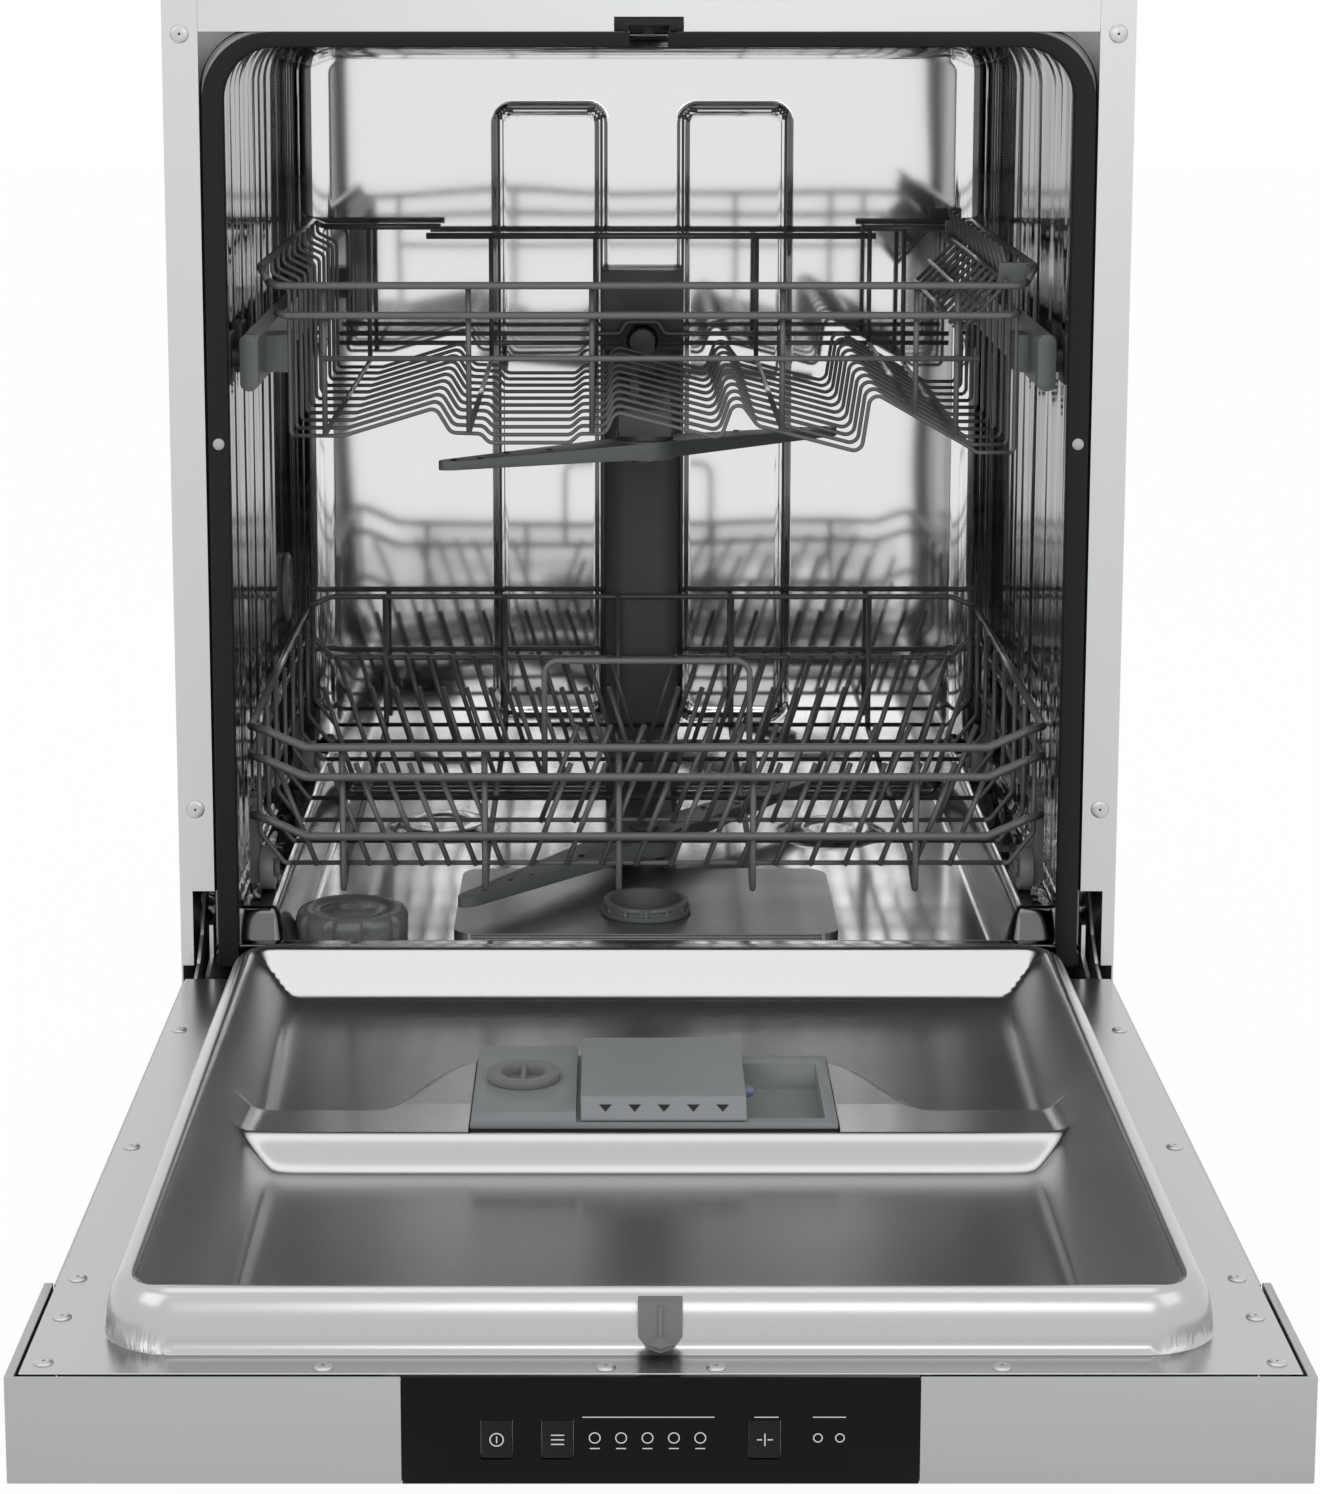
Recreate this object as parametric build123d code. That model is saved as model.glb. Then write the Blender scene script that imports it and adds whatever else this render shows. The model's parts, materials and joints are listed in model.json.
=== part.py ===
"""Semi-integrated dishwasher, 596 mm wide, with its door folded fully open.

Millimetres, +Z up from the floor, +X to the user's right as they face the machine, +Y into it.
The origin is on the floor, under the middle of the whole outline. Sub-parts are drawn with y
measured from the casing's front plane, and save() moves them back to the origin.
"""

import math
import os

from build123d import *

# Whole machine
WIDTH = 596.0
HEIGHT = 817.0
CASING_DEPTH = 520.0
DOOR_REACH = 628.0
FRONT_Y = (DOOR_REACH - CASING_DEPTH) / 2
SHEET = 1.0
SEAT_GAP = 0.3

# Casing
STRIP_WIDTH = 22.0
STRIP_BOTTOM = 206.0
HINGE_CUT_TOP = 255.0
HINGE_CUT_MARGIN = 8.0
HINGE_CUT_X = WIDTH / 2 - HINGE_CUT_MARGIN
TOE_DEPTH = 62.0
TOE_HEIGHT = 112.0
PANEL_BOTTOM = 24.0
HOSE_RECESS = 33.0
HOSE_RECESS_TOP = 190.0
BAR_HEIGHT = 19.6
BAR_FLANGE = 24.0
WORKTOP_HOLE_R = 2.25
WORKTOP_HOLE_MARGIN = 68.0
WORKTOP_HOLE_X = WIDTH / 2 - WORKTOP_HOLE_MARGIN
WORKTOP_HOLE_Y = 15.0
SCREW_HEAD_R = 5.7
SCREW_HEAD = 1.2
SCREW_SHANK_R = 2.0
SCREW_LENGTH = 8.0
STRIP_SCREW_X = (WIDTH - STRIP_WIDTH) / 2
STRIP_SCREW_DROP = 21.0
STRIP_SCREW_LOW = 308.6
STRIP_SCREW_Z = (STRIP_SCREW_LOW, HEIGHT - STRIP_SCREW_DROP)
PLINTH_TOP = 150.0
PLINTH_SHEET = 1.2
PANEL_LIFT = 14.0

# Tub
TUB_SHEET = 1.2
TUB_MARGIN = 30.0
TUB_HALF = WIDTH / 2 - TUB_MARGIN
CEILING_DROP = 23.5
TUB_CEILING = HEIGHT - CEILING_DROP
TUB_CORNER_R = 36.0
TUB_DEPTH = 490.0
TUB_FRAME_LIP = 7.8
WALL_BOTTOM = 206.0
FLOOR_Z = 200.0
LEDGE_Z = 235.0
LEDGE_WIDTH = 27.0
LEDGE_HALF = TUB_HALF - LEDGE_WIDTH
RISER_SLOPE = 4.0
RISER_HALF = LEDGE_HALF - RISER_SLOPE
LEDGE_FRONT = 34.0
SILL_Z = 219.0
SILL_DEPTH = 12.0
APRON_BOTTOM = 176.0
EMBOSS_X = (28.0, 112.0)
EMBOSS_BOTTOM = 257.0
EMBOSS_DROP = 60.5
EMBOSS_Z = (EMBOSS_BOTTOM, TUB_CEILING - EMBOSS_DROP)
EMBOSS_R = 14.0
GROOVE = 6.0
GROOVE_DEPTH = 0.6
GASKET_LAP = (6.0, 3.6)
GASKET_LIP = (7.0, 5.7)
GASKET_OUTER = TUB_HALF + GASKET_LAP[0]
GASKET_INNER = TUB_HALF - GASKET_LIP[0]
GASKET_TOP = TUB_CEILING + GASKET_LAP[1]
GASKET_TOP_INNER = TUB_CEILING - GASKET_LIP[1]
GASKET_FACE = 2.8
GASKET_DEPTH = 8.0
MAT = 8.0
MAT_BOTTOM = 260.0
MAT_FRONT = (30.0, 60.0)
MAT_BACK = 4.0
MAT_ROOF_MARGIN = 32.0

# Base, feet and works
TRAY_MARGIN = 4.0
TRAY_HALF = WIDTH / 2 - TRAY_MARGIN
TRAY_BOTTOM = 16.0
TRAY_WALL = 3.0
FOOT_MARGIN = 32.0
FOOT_X = TRAY_HALF - FOOT_MARGIN
FOOT_Y = (100.0, 450.0)
FOOT_PAD_R = 20.0
FOOT_PAD = 12.0
FOOT_STUD_R = 5.0
FOOT_STUD_TOP = 52.0
FOOT_BOSS_R = 14.0
RUNNING_FIT = 0.05
SUMP_TOP = (244.0, 154.0)
SUMP_BOTTOM = (120.0, 120.0)
SUMP_FLOOR_Z = 128.0
SUMP_WALL = 2.5
PUMP_Z = 140.0
PUMP_FRONT = 262.0
PUMP_VOLUTE_R = 46.0
PUMP_VOLUTE = 36.0
PUMP_WALL = 3.0
PUMP_PIPE_R = 15.0
PUMP_OUTLET_R = 12.0
MOTOR_R = 38.0
MOTOR_LENGTH = 92.0
SHAFT_R = 4.0
IMPELLER_R = 38.0
DRAIN_X = (100.0, 126.0, 176.0)
DRAIN_R = 26.0
DRAIN_PIPE_R = 9.0
DRAIN_MOTOR_R = 22.0
SPIGOT_R = 10.0
SPIGOT_BORE_R = 7.0
SPIGOT_LENGTH = 28.0
SPIGOT_X = 113.0
INLET_X = -175.0
INLET_Z = 90.0
INLET_R = 13.2
INLET_LENGTH = 18.0
GLAND_X = 205.0
GLAND_Z = 80.0
GLAND_R = 9.0
GLAND_BORE_R = 4.2
GLAND_LENGTH = 12.0
SALT_MARGIN = 73.0
SALT_X = SALT_MARGIN - TUB_HALF
TANK_SIDES = (59.0, 55.0)
TANK_X = (SALT_X - TANK_SIDES[0], SALT_X + TANK_SIDES[1])
TANK_Y = (68.0, 170.0)
TANK_Z = (60.0, 180.0)
TANK_WALL = 2.5
NECK_FLOOR = 162.0

# Salt cap, filter and lower arm
SALT_Y = 80.0
SALT_NECK_R = 29.0
SALT_NECK_TOP = 210.0
SALT_CAP_R = 37.5
SALT_CAP_TOP = 222.0
SCALLOPS = 12
SCALLOP_R = 5.0
FILTER_HALF = 128.0
FILTER_Y = (73.0, 235.0)
FILTER_TOP = 205.0
FILTER_CORNER_R = 16.0
CUP_Y = 127.0
CUP_R = 27.0
CUP_RING_R = 28.5
CUP_RING_TOP = 214.0
CUP_BOTTOM = 150.0
CUP_WALL = 3.0
ARM_Y = 250.0
LOWER_ARM_REACH = 205.0
LOWER_ARM_ANGLE = 53.0
LOWER_ARM_Z = (217.0, 229.0)
ARM_PIN_R = 6.0
ARM_HUB_R = 22.0
ARM_TIP_R = 13.0
DUCT_HALF = 28.0
DUCT_DEPTH = 13.0
DUCT_FOOT_HALF = 22.0
DUCT_FOOT_TOP = 214.0
DOCK_HALF = 31.0
DOCK_FRONT = 460.0
DOCK_Z = (549.0, 609.0)
PORT_Z = 557.0
PORT_R = 12.0
HUB_POST_R = 14.0

# Upper rack
UPPER_RAIL_Y = 50.0
UPPER_REAR_Y = 455.0
UPPER_RIM_Z = 648.0
UPPER_RIM_MARGIN = 21.0
UPPER_RIM_X = TUB_HALF - UPPER_RIM_MARGIN
DRAWN_RIM_X = 247.0
UPPER_SPREAD = UPPER_RIM_X / DRAWN_RIM_X
UPPER_FRONT_Z = (637.0, 618.0, 590.5)
UPPER_REAR_Z = 636.0
UPPER_REAR_LOW_Z = (562.0, 555.0)
UPPER_RAIL_R = 2.4
UPPER_THIN_R = 1.8
UPPER_WIRE_R = 1.3
UPPER_PITCH = 37.1
UPPER_WIRES = 11
UPPER_FIRST_Y = 65.5
UPPER_LONG_DRAWN = (-206.0, -114.0, -35.5, 86.0, 171.0, 197.0)
UPPER_LONG_X = tuple(UPPER_SPREAD * x for x in UPPER_LONG_DRAWN)
WAVE_DRAWN = (
    (-227.8, 538.8), (-195.4, 538.8), (-135.9, 557.0), (-126.2, 540.8), (-106.8, 540.1),
    (-101.6, 534.3), (-49.9, 534.3), (-43.4, 540.1), (-27.2, 540.1), (-20.8, 554.3),
    (47.2, 536.9), (56.9, 564.7), (71.1, 545.3), (137.7, 527.8), (143.6, 567.9),
    (205.7, 532.3), (212.1, 527.8), (234.0, 527.8),
)
UPPER_WAVE = tuple((UPPER_SPREAD * x, z) for x, z in WAVE_DRAWN)
UPPER_SIDE_OUT = (1.3, 2.1)
UPPER_SIDE_X = (UPPER_WAVE[0][0] - UPPER_SIDE_OUT[0], UPPER_WAVE[-1][0] + UPPER_SIDE_OUT[1])
SIDE_BEND_Z = 633.0
RAIL_MARGIN = (22.0, 11.0)
RAIL_X = tuple(TUB_HALF - margin for margin in RAIL_MARGIN)
RAIL_Z = 590.0
RAIL_INSIDE = 28.0
RAIL_Y = (40.0, 458.0)
RAIL_CAP = (11.5, 10.0, 36.0)
ROLLER_R = 13.6
ROLLER_MARGIN = (19.4, 12.0)
ROLLER_X = tuple(TUB_HALF - margin for margin in ROLLER_MARGIN)
ROLLER_Y = (62.0, 128.0)
ROLLER_PIN_R = 3.5
ROLLER_SHOULDER_R = 5.5
ROLLER_PLATE = (3.0, 14.0, 16.0)
HANGER_Y = (95.0, 399.0)
HANGER = (28.0, 24.0)
PIPE_HALF = 18.0
PIPE_Z = (516.0, 534.0)
UPPER_ARM_Y = 243.0
UPPER_ARM_REACH = 163.0
UPPER_ARM_ANGLE = 31.7
UPPER_ARM_Z = (500.0, 511.0)
DOCK_TUBE_R = 9.5
CUP_ROD_IN = 18.35
CUP_ROD_Z = 638.4
CUP_ROD = (UPPER_RIM_X - CUP_ROD_IN, CUP_ROD_Z)
CUP_ROD_R = 1.6
CUP_WIRE_R = 1.5
CUP_PROFILE = ((20.5, 660.0), (14.4, 638.0), (47.0, 604.0))
CUP_TOP, CUP_KNEE, CUP_END = ((UPPER_RIM_X - inward, z) for inward, z in CUP_PROFILE)
CUP_RAIL_SHARE = (0.55, 0.93)
CUP_WIRES = 12
CUP_FIRST_Y = 76.0
CUP_PITCH = 30.0

# Lower rack
LOWER_RAIL_Y = 47.0
LOWER_REAR_Y = 472.0
LOWER_RAIL_R = 2.7
LOWER_POST_R = 2.1
LOWER_WIRE_R = 1.6
TINE_R = 1.8
LOWER_SIDE_MARGIN = 11.0
LOWER_SIDE_X = TUB_HALF - LOWER_SIDE_MARGIN
CORNER_MARGIN = (47.0, 21.0)
CORNER_X = tuple(TUB_HALF - margin for margin in CORNER_MARGIN)
LOWER_FRONT_Z = (337.6, 318.0, 278.4)
LOWER_SIDE_Z = (350.0, 330.5, 291.0)
LOWER_REAR_Z = (356.0, 308.0)
LOWER_FLOOR_Z = 257.4
LOWER_CROSS_Y = (115.0, 231.0, 347.0, 460.0)
TINE_ROW_Y = (59.4, 170.0, 290.0, 404.0)
FOOT_WIRE_Z = 239.0
FLOOR_MARGIN = 35.0
FLOOR_HALF = TUB_HALF - FLOOR_MARGIN
DRAWN_FLOOR_HALF = 233.0
LOWER_SPREAD = FLOOR_HALF / DRAWN_FLOOR_HALF
LOWER_LONG_DRAWN = (-198.0, -105.5, -18.2, 69.2, 175.3)
LOWER_LONG_X = tuple(LOWER_SPREAD * x for x in LOWER_LONG_DRAWN)
SIDE_BEND = 278.0
TINE_TOP_Z = 325.0
TINE_LEAN = 21.0
TINE_STEEP = 26.0
TINES_LEFT = (-215.2, 17.3, 8)
TINES_RIGHT = (-75.4, 22.75, 13)
TINES_HALF_ROW = (-72.0, 22.7, 13)
TINES_PAIR = (4.0, 17.1, 13)
HANDLE_X = 66.4
HANDLE_TOP_Z = 393.8
HANDLE_WIRE_R = 2.0
LOWER_SIDE_RUN = (8.0, 9.3)
LOWER_REAR_X = 240.0
LOWER_REAR_RUN = (11.0, 12.0)
FOOT_WIRE_RUN = (42.0, 50.0)
WHEEL_R = 14.5
WHEEL_MARGIN = (23.0, 14.0)
WHEEL_X = tuple(TUB_HALF - margin for margin in WHEEL_MARGIN)
WHEEL_Y = (76.0, 375.0)
WHEEL_PIN_R = 4.0
CARRIER = (6.5, 9.0, 8.0)

# Door, drawn open and level
HINGE_Y = -12.0
HINGE_Z = 196.6
FLANGE_Z = 205.6
DOOR_THICK = 51.3
DOOR_MARGIN = 4.7
DOOR_HALF = WIDTH / 2 - DOOR_MARGIN
DOOR_REAR_Y = -28.0
SKIN_TAIL_Y = 58.0
SKIN_TAIL_MARGIN = 25.3
SKIN_TAIL_HALF = DOOR_HALF - SKIN_TAIL_MARGIN
SKIN_HOLES = (200.0, (-180.0, -420.0), 2.5)
RIDGE_TOP = 235.0
RIDGE_MARGIN = 27.3
RIDGE_HALF = DOOR_HALF - RIDGE_MARGIN
RIDGE_Y = (-606.0, -37.0)
RIDGE_WIDTH = 22.0
RIDGE_FRONT_WIDTH = 16.0
RIDGE_R = 30.0
BASIN_REAR_Z = 208.0
BAR_TOP_Z = 212.0
BAR_TOP_Y = -324.0
BASIN_FRONT_Z = 195.0
BASIN_SLOPE = 45.0
BASIN_R = (20.0, 24.0)
BASIN_MARGIN = (14.0, 24.0)
LINER_LIFT = 6.0
NEAR_SCREW_X = (-154.0, -25.0, 25.5, 156.0)
NEAR_SCREW_Y = -617.0
SIDE_SCREW_MARGIN = 10.8
SIDE_SCREW_Y = (-612.0, -560.0, -513.0, -330.0, -130.0)
DOOR_SCREW_R = 4.2
FASCIA_LENGTH = 110.0
FASCIA_WALL = 1.2
INSERT_HALF = 117.7
INSERT = 2.5
BUTTON = (14.0, 18.4)
BUTTON_X = (-74.6, -46.9, 47.4)
BUTTON_Z = 175.6
BUTTON_TRAVEL = 1.0
BUTTON_CLEARANCE = 0.3
GRIP = (230.0, 24.0, 16.0)
GRIP_Y = -596.0
FASCIA_LAP = 8.0
BUTTON_PASSAGE = (4.0, 6.0)
BUTTON_STEM = (3.0, 5.0)
BUTTON_SUNK = 0.3
BOARD_BACK = 9.0
BOARD = (12.0, 1.6, 16.0)
BOARD_POST = (20.0, 10.0, 2.5)
PIVOT_R = 4.0
PIVOT_MARGIN = (15.8, 3.3)
PIVOT_X = tuple(DOOR_HALF - margin for margin in PIVOT_MARGIN)
BRACKET_SHEET = 2.5
BRACKET_OUTLINE = (
    (-22.0, 184.0), (-22.0, 206.0), (2.0, 212.0), (2.0, 232.0), (38.0, 232.0), (110.0, 150.0),
    (110.0, TOE_HEIGHT), (66.0, TOE_HEIGHT), (40.0, 130.0), (0.0, 172.0),
)
BRACKET_FOOT_Y = (66.0, 110.0)
ARM_PLATE_MARGIN = (7.9, 5.9)
ARM_PLATE_X = tuple(DOOR_HALF - margin for margin in ARM_PLATE_MARGIN)
ARM_OUTLINE = (
    (-92.0, 190.0), (-92.0, 203.0), (-26.0, 203.0), (-6.0, 209.0), (14.0, 222.0),
    (34.0, 246.0), (46.0, 246.0), (46.0, 236.0), (36.0, 226.0), (18.0, 206.0), (0.0, 184.0),
    (-14.0, 180.0), (-30.0, 190.0),
)
ARM_FOOT_Y = (-90.0, -40.0)
ARM_FOOT_Z = (188.0, 190.5)
TAIL_END = (43.0, 242.0)
SPRING_R = 7.0
SPRING_END = (296.7, 126.0)
SPRING_HOOKS = (11.0, 3.2)
SPRING_ANCHOR = 8.0
CATCH_HALF = 10.3
CATCH_PROUD = 8.0
CATCH_Z = (209.0, 234.0)
TONGUE_HALF = 3.5
LATCH_HALF = 21.0

# Dispenser
DISP_X = (-99.5, 100.5)
DISP_Y = (-322.0, -208.0)
DISP_BASE_TOP = 216.0
RINSE_X = -72.0
RINSE_Y = -265.0
RINSE_R = 20.5
RINSE_BLOCK_X = (-98.5, -42.0)
RINSE_BLOCK_TOP = 222.0
RINSE_SOCKET_R = 15.5
RINSE_WELL_R = 12.5
RINSE_BAR = (1.2, 13.0)
LID_X = (-39.5, 51.0)
LID_Y = (-320.0, -211.0)
LID_TOP = 228.0
LID_FRONT = (2.0, 8.0)
LID_SHEET = 2.5
CHAMBER_X = (8.0, 94.0)
CHAMBER_Y = (-314.0, -222.0)
CHAMBER_FLOOR = 201.0


def block(x, y, z):
    """A box from three (low, high) pairs."""
    size = [high - low for low, high in (x, y, z)]
    middle = [(high + low) / 2 for low, high in (x, y, z)]
    return Pos(*middle) * Box(*size)


def both_sides(shape):
    """A shape and its mirror image across the machine's middle plane."""
    return [shape, mirror(shape, about=Plane.YZ)]


def rod(start, end, radius):
    """A straight round bar from one point to another."""
    start = Vector(*start)
    run = Vector(*end) - start
    bar = Cylinder(radius, run.length, align=(Align.CENTER, Align.CENTER, Align.MIN))
    return Plane(origin=start, z_dir=run) * bar


def bent_wire(points, radius, bend):
    """A round wire along straight runs, with each corner bent as wide as its runs allow."""
    points = [Vector(*point) for point in points]
    radii = []
    for before, corner, after in zip(points, points[1:], points[2:]):
        turn = math.radians((corner - before).get_angle(after - corner))
        run = min((corner - before).length, (after - corner).length)
        radii.append(min(bend, 0.45 * run / math.tan(turn / 2)))
    path = FilletPolyline(*points, radius=radii)
    return sweep(Plane(origin=path @ 0, z_dir=path % 0) * Circle(radius), path=path)


def tube(start, end, radius, bore):
    """A straight round tube."""
    return rod(start, end, radius) - rod(start, end, bore)


def arch(half, top, corner):
    """The tub's cross-section: straight sides and a flat top with round corners."""
    outline = Plane.XZ * Pos(0, (top + WALL_BOTTOM) / 2) * Rectangle(2 * half, top - WALL_BOTTOM)
    corners = outline.vertices().group_by(Axis.Z)[-1]
    return fillet(corners, corner)


def arch_ring(outer, inner, y):
    """What lies between two arches, over a stretch of depth."""
    depth = y[1] - y[0]
    ring = extrude(Pos(0, y[0], 0) * outer, depth, dir=(0, 1, 0))
    return ring - extrude(Pos(0, y[0], 0) * inner, depth, dir=(0, 1, 0))


def plate(points, x):
    """A flat plate square to X, from its outline in y and z."""
    outline = make_face(Polyline(*[(x[0], y, z) for y, z in points], close=True))
    return extrude(outline, x[1] - x[0], dir=(1, 0, 0))


def save(node, *solids):
    """Write one sub-part, moved so that the origin is under the middle of the outline."""
    moved = [Pos(0, FRONT_Y, 0) * solid for shape in solids for solid in shape.solids()]
    export_step(Compound(moved), f"parts/{node}.step")


def side_panel():
    """The right side sheet with the folded strip that shows beside the tub."""
    half = WIDTH / 2
    outline = (
        (0, TOE_HEIGHT), (0, HEIGHT), (CASING_DEPTH, HEIGHT), (CASING_DEPTH, PANEL_BOTTOM),
        (TOE_DEPTH, PANEL_BOTTOM), (TOE_DEPTH, TOE_HEIGHT),
    )
    sheet = plate(outline, (half - SHEET, half))
    strip = block((half - STRIP_WIDTH, half - SHEET), (0, SHEET), (STRIP_BOTTOM, HEIGHT))
    hinge_cut = block((0, HINGE_CUT_X), (0, SHEET), (0, HINGE_CUT_TOP))
    strip -= hinge_cut
    for z in STRIP_SCREW_Z:
        strip -= rod((STRIP_SCREW_X, 0, z), (STRIP_SCREW_X, SHEET, z), SCREW_SHANK_R + 0.2)
    rear = block(
        (half - STRIP_WIDTH, half - SHEET),
        (CASING_DEPTH - SHEET, CASING_DEPTH),
        (HOSE_RECESS_TOP, HEIGHT),
    )
    return sheet + strip + rear


def rear_panel():
    """The back sheet, stepped in at the foot to leave room for the hoses."""
    half = WIDTH / 2 - SHEET
    back = CASING_DEPTH - SHEET
    low_y = CASING_DEPTH - HOSE_RECESS
    upper = block((-half, half), (back - SHEET, back), (HOSE_RECESS_TOP, HEIGHT - SHEET))
    step = block((-half, half), (low_y, back), (HOSE_RECESS_TOP - SHEET, HOSE_RECESS_TOP))
    lower_z = (TRAY_BOTTOM + PANEL_LIFT, HOSE_RECESS_TOP)
    lower = block((-half, half), (low_y, low_y + SHEET), lower_z)
    panel = upper + step + lower
    gland = (GLAND_X, low_y, GLAND_Z)
    gland_end = (GLAND_X, low_y + GLAND_LENGTH, GLAND_Z)
    panel += rod(gland, gland_end, GLAND_R)
    panel -= rod(gland, gland_end, GLAND_BORE_R)
    for x, z, radius in ((SPIGOT_X, PUMP_Z, SPIGOT_R), (INLET_X, INLET_Z, INLET_R)):
        panel -= rod((x, low_y, z), (x, low_y + SHEET, z), radius - 1 + SEAT_GAP)
    return panel


def front_crossbar():
    """The bar over the door opening, with the holes that fix it to a worktop."""
    half = WIDTH / 2 - STRIP_WIDTH - 0.2
    low = HEIGHT - BAR_HEIGHT
    face = block((-half, half), (0, TUB_SHEET), (low, HEIGHT))
    flange = block((-half, half), (0, BAR_FLANGE), (HEIGHT - TUB_SHEET, HEIGHT))
    bar = face + flange
    bar -= block((-LATCH_HALF - 0.4, LATCH_HALF + 0.4), (0, TUB_SHEET), (low, low + 9))
    for x in (-WORKTOP_HOLE_X, WORKTOP_HOLE_X):
        bar -= rod((x, WORKTOP_HOLE_Y, low), (x, WORKTOP_HOLE_Y, HEIGHT), WORKTOP_HOLE_R)
    return bar


def latch_housing():
    """The black latch box over the opening, with a slot for its sprung tongue."""
    low = HEIGHT - BAR_HEIGHT
    box = block((-LATCH_HALF, LATCH_HALF), (0, 38), (low, HEIGHT - TUB_SHEET - SEAT_GAP))
    box -= block((-LATCH_HALF, LATCH_HALF), (0, TUB_SHEET + SEAT_GAP), (low + 8.7, HEIGHT))
    box -= block((-CATCH_HALF - 2, CATCH_HALF + 2), (0, 30), (low, low + 3.4))
    slot = TONGUE_HALF + SEAT_GAP
    return box - block((-slot, slot), (10 - SEAT_GAP, 22 + SEAT_GAP), (low, HEIGHT - 4))


def tub_wrapper():
    """The tub's walls, bends and ceiling, with the folded lip round its mouth.

    The sheet is cut where its bends begin, so that collision follows each bend.
    """
    inner = arch(TUB_HALF, TUB_CEILING, TUB_CORNER_R)
    outer = arch(TUB_HALF + TUB_SHEET, TUB_CEILING + TUB_SHEET, TUB_CORNER_R + TUB_SHEET)
    lip_top = HEIGHT - BAR_HEIGHT - 0.1
    lip = arch(TUB_HALF + TUB_FRAME_LIP, lip_top, TUB_CORNER_R)
    shell = arch_ring(outer, inner, (0, TUB_DEPTH)) + arch_ring(lip, inner, (0, TUB_SHEET))
    notch = CATCH_HALF + 3
    shell -= block((-notch, notch), (0, 30), (TUB_CEILING - 1, lip_top + 1))
    depth = (0, TUB_DEPTH)
    bend_x = TUB_HALF - TUB_CORNER_R
    bend_z = TUB_CEILING - TUB_CORNER_R
    walls = both_sides(block((bend_x, WIDTH / 2), depth, (0, bend_z)))
    bends = both_sides(block((bend_x, WIDTH / 2), depth, (bend_z, HEIGHT)))
    ceiling = block((-bend_x, bend_x), depth, (bend_z, HEIGHT))
    return [shell & region for region in (*walls, *bends, ceiling)]


def tub_back_wall():
    """The back of the tub with its two embossed panels."""
    half = TUB_HALF - 0.1
    y = (TUB_DEPTH - TUB_SHEET, TUB_DEPTH)
    outline = arch(half, TUB_CEILING - 0.1, TUB_CORNER_R)
    wall = extrude(Pos(0, y[0], 0) * outline, TUB_SHEET, dir=(0, 1, 0))
    wall -= block((-half, half), y, (0, LEDGE_Z))
    wall += block((-RISER_HALF, RISER_HALF), y, (FLOOR_Z, LEDGE_Z + 1))
    width = EMBOSS_X[1] - EMBOSS_X[0]
    height = EMBOSS_Z[1] - EMBOSS_Z[0]
    for side in (-1, 1):
        centre = Pos(side * sum(EMBOSS_X) / 2, y[0], sum(EMBOSS_Z) / 2)
        frame = RectangleRounded(width, height, EMBOSS_R)
        frame -= RectangleRounded(width - 2 * GROOVE, height - 2 * GROOVE, EMBOSS_R - GROOVE)
        wall -= centre * extrude(Plane.XZ * frame, GROOVE_DEPTH, dir=(0, 1, 0))
    return wall


def tub_floor():
    """The floor with its two wheel ledges, the front sill, the filter well and the salt hole."""
    sheet = TUB_SHEET
    half = TUB_HALF - 0.1
    top = [
        (half, LEDGE_Z), (LEDGE_HALF, LEDGE_Z), (RISER_HALF, FLOOR_Z),
        (-RISER_HALF, FLOOR_Z), (-LEDGE_HALF, LEDGE_Z), (-half, LEDGE_Z),
    ]
    under = [
        (-half, LEDGE_Z - sheet), (-LEDGE_HALF - sheet, LEDGE_Z - sheet),
        (-RISER_HALF - sheet, FLOOR_Z - sheet), (RISER_HALF + sheet, FLOOR_Z - sheet),
        (LEDGE_HALF + sheet, LEDGE_Z - sheet), (half, LEDGE_Z - sheet),
    ]
    outline = Polyline(*[(x, LEDGE_FRONT, z) for x, z in top + under], close=True)
    depth = TUB_DEPTH - sheet - LEDGE_FRONT
    floor = extrude(make_face(outline), depth, dir=(0, 1, 0))
    floor += block((-half, half), (SILL_DEPTH - sheet, LEDGE_FRONT), (FLOOR_Z - sheet, FLOOR_Z))
    floor += block((-half, half), (SILL_DEPTH - sheet, SILL_DEPTH), (FLOOR_Z - sheet, SILL_Z))
    floor += block((-half, half), (0, SILL_DEPTH), (SILL_Z - sheet, SILL_Z))
    floor += block((-half, half), (0, sheet), (APRON_BOTTOM, SILL_Z))
    for side in (-1, 1):
        step = sorted((side * RISER_HALF, side * half))
        floor += block(step, (LEDGE_FRONT, LEDGE_FRONT + sheet), (FLOOR_Z - sheet, LEDGE_Z))
    well = block((-118, 118), (FILTER_Y[0] + 8, FILTER_Y[1] - 8), (FLOOR_Z - 5, FLOOR_Z + 1))
    floor -= well
    salt = (SALT_X, SALT_Y)
    floor -= rod((*salt, FLOOR_Z - 5), (*salt, FLOOR_Z + 5), SALT_NECK_R + SEAT_GAP)
    outlet = (0, PUMP_FRONT + PUMP_VOLUTE / 2)
    floor -= rod((*outlet, FLOOR_Z - 5), (*outlet, FLOOR_Z + 5), PUMP_OUTLET_R + SEAT_GAP)
    return floor


def tub_gasket():
    """The black door seal, a face in front of the lip and a bulb just inside it."""
    outer = arch(GASKET_OUTER, GASKET_TOP, TUB_CORNER_R + 6)
    inner = arch(GASKET_INNER, GASKET_TOP_INNER, TUB_CORNER_R - 4)
    bulb = arch(TUB_HALF - SEAT_GAP, TUB_CEILING - SEAT_GAP, TUB_CORNER_R)
    behind = arch_ring(bulb, inner, (0, GASKET_DEPTH))
    sill = block((-TUB_HALF, TUB_HALF), (0, SILL_DEPTH), (WALL_BOTTOM, SILL_Z + SEAT_GAP))
    return arch_ring(outer, inner, (-GASKET_FACE, 0)) + (behind - sill)


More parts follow.
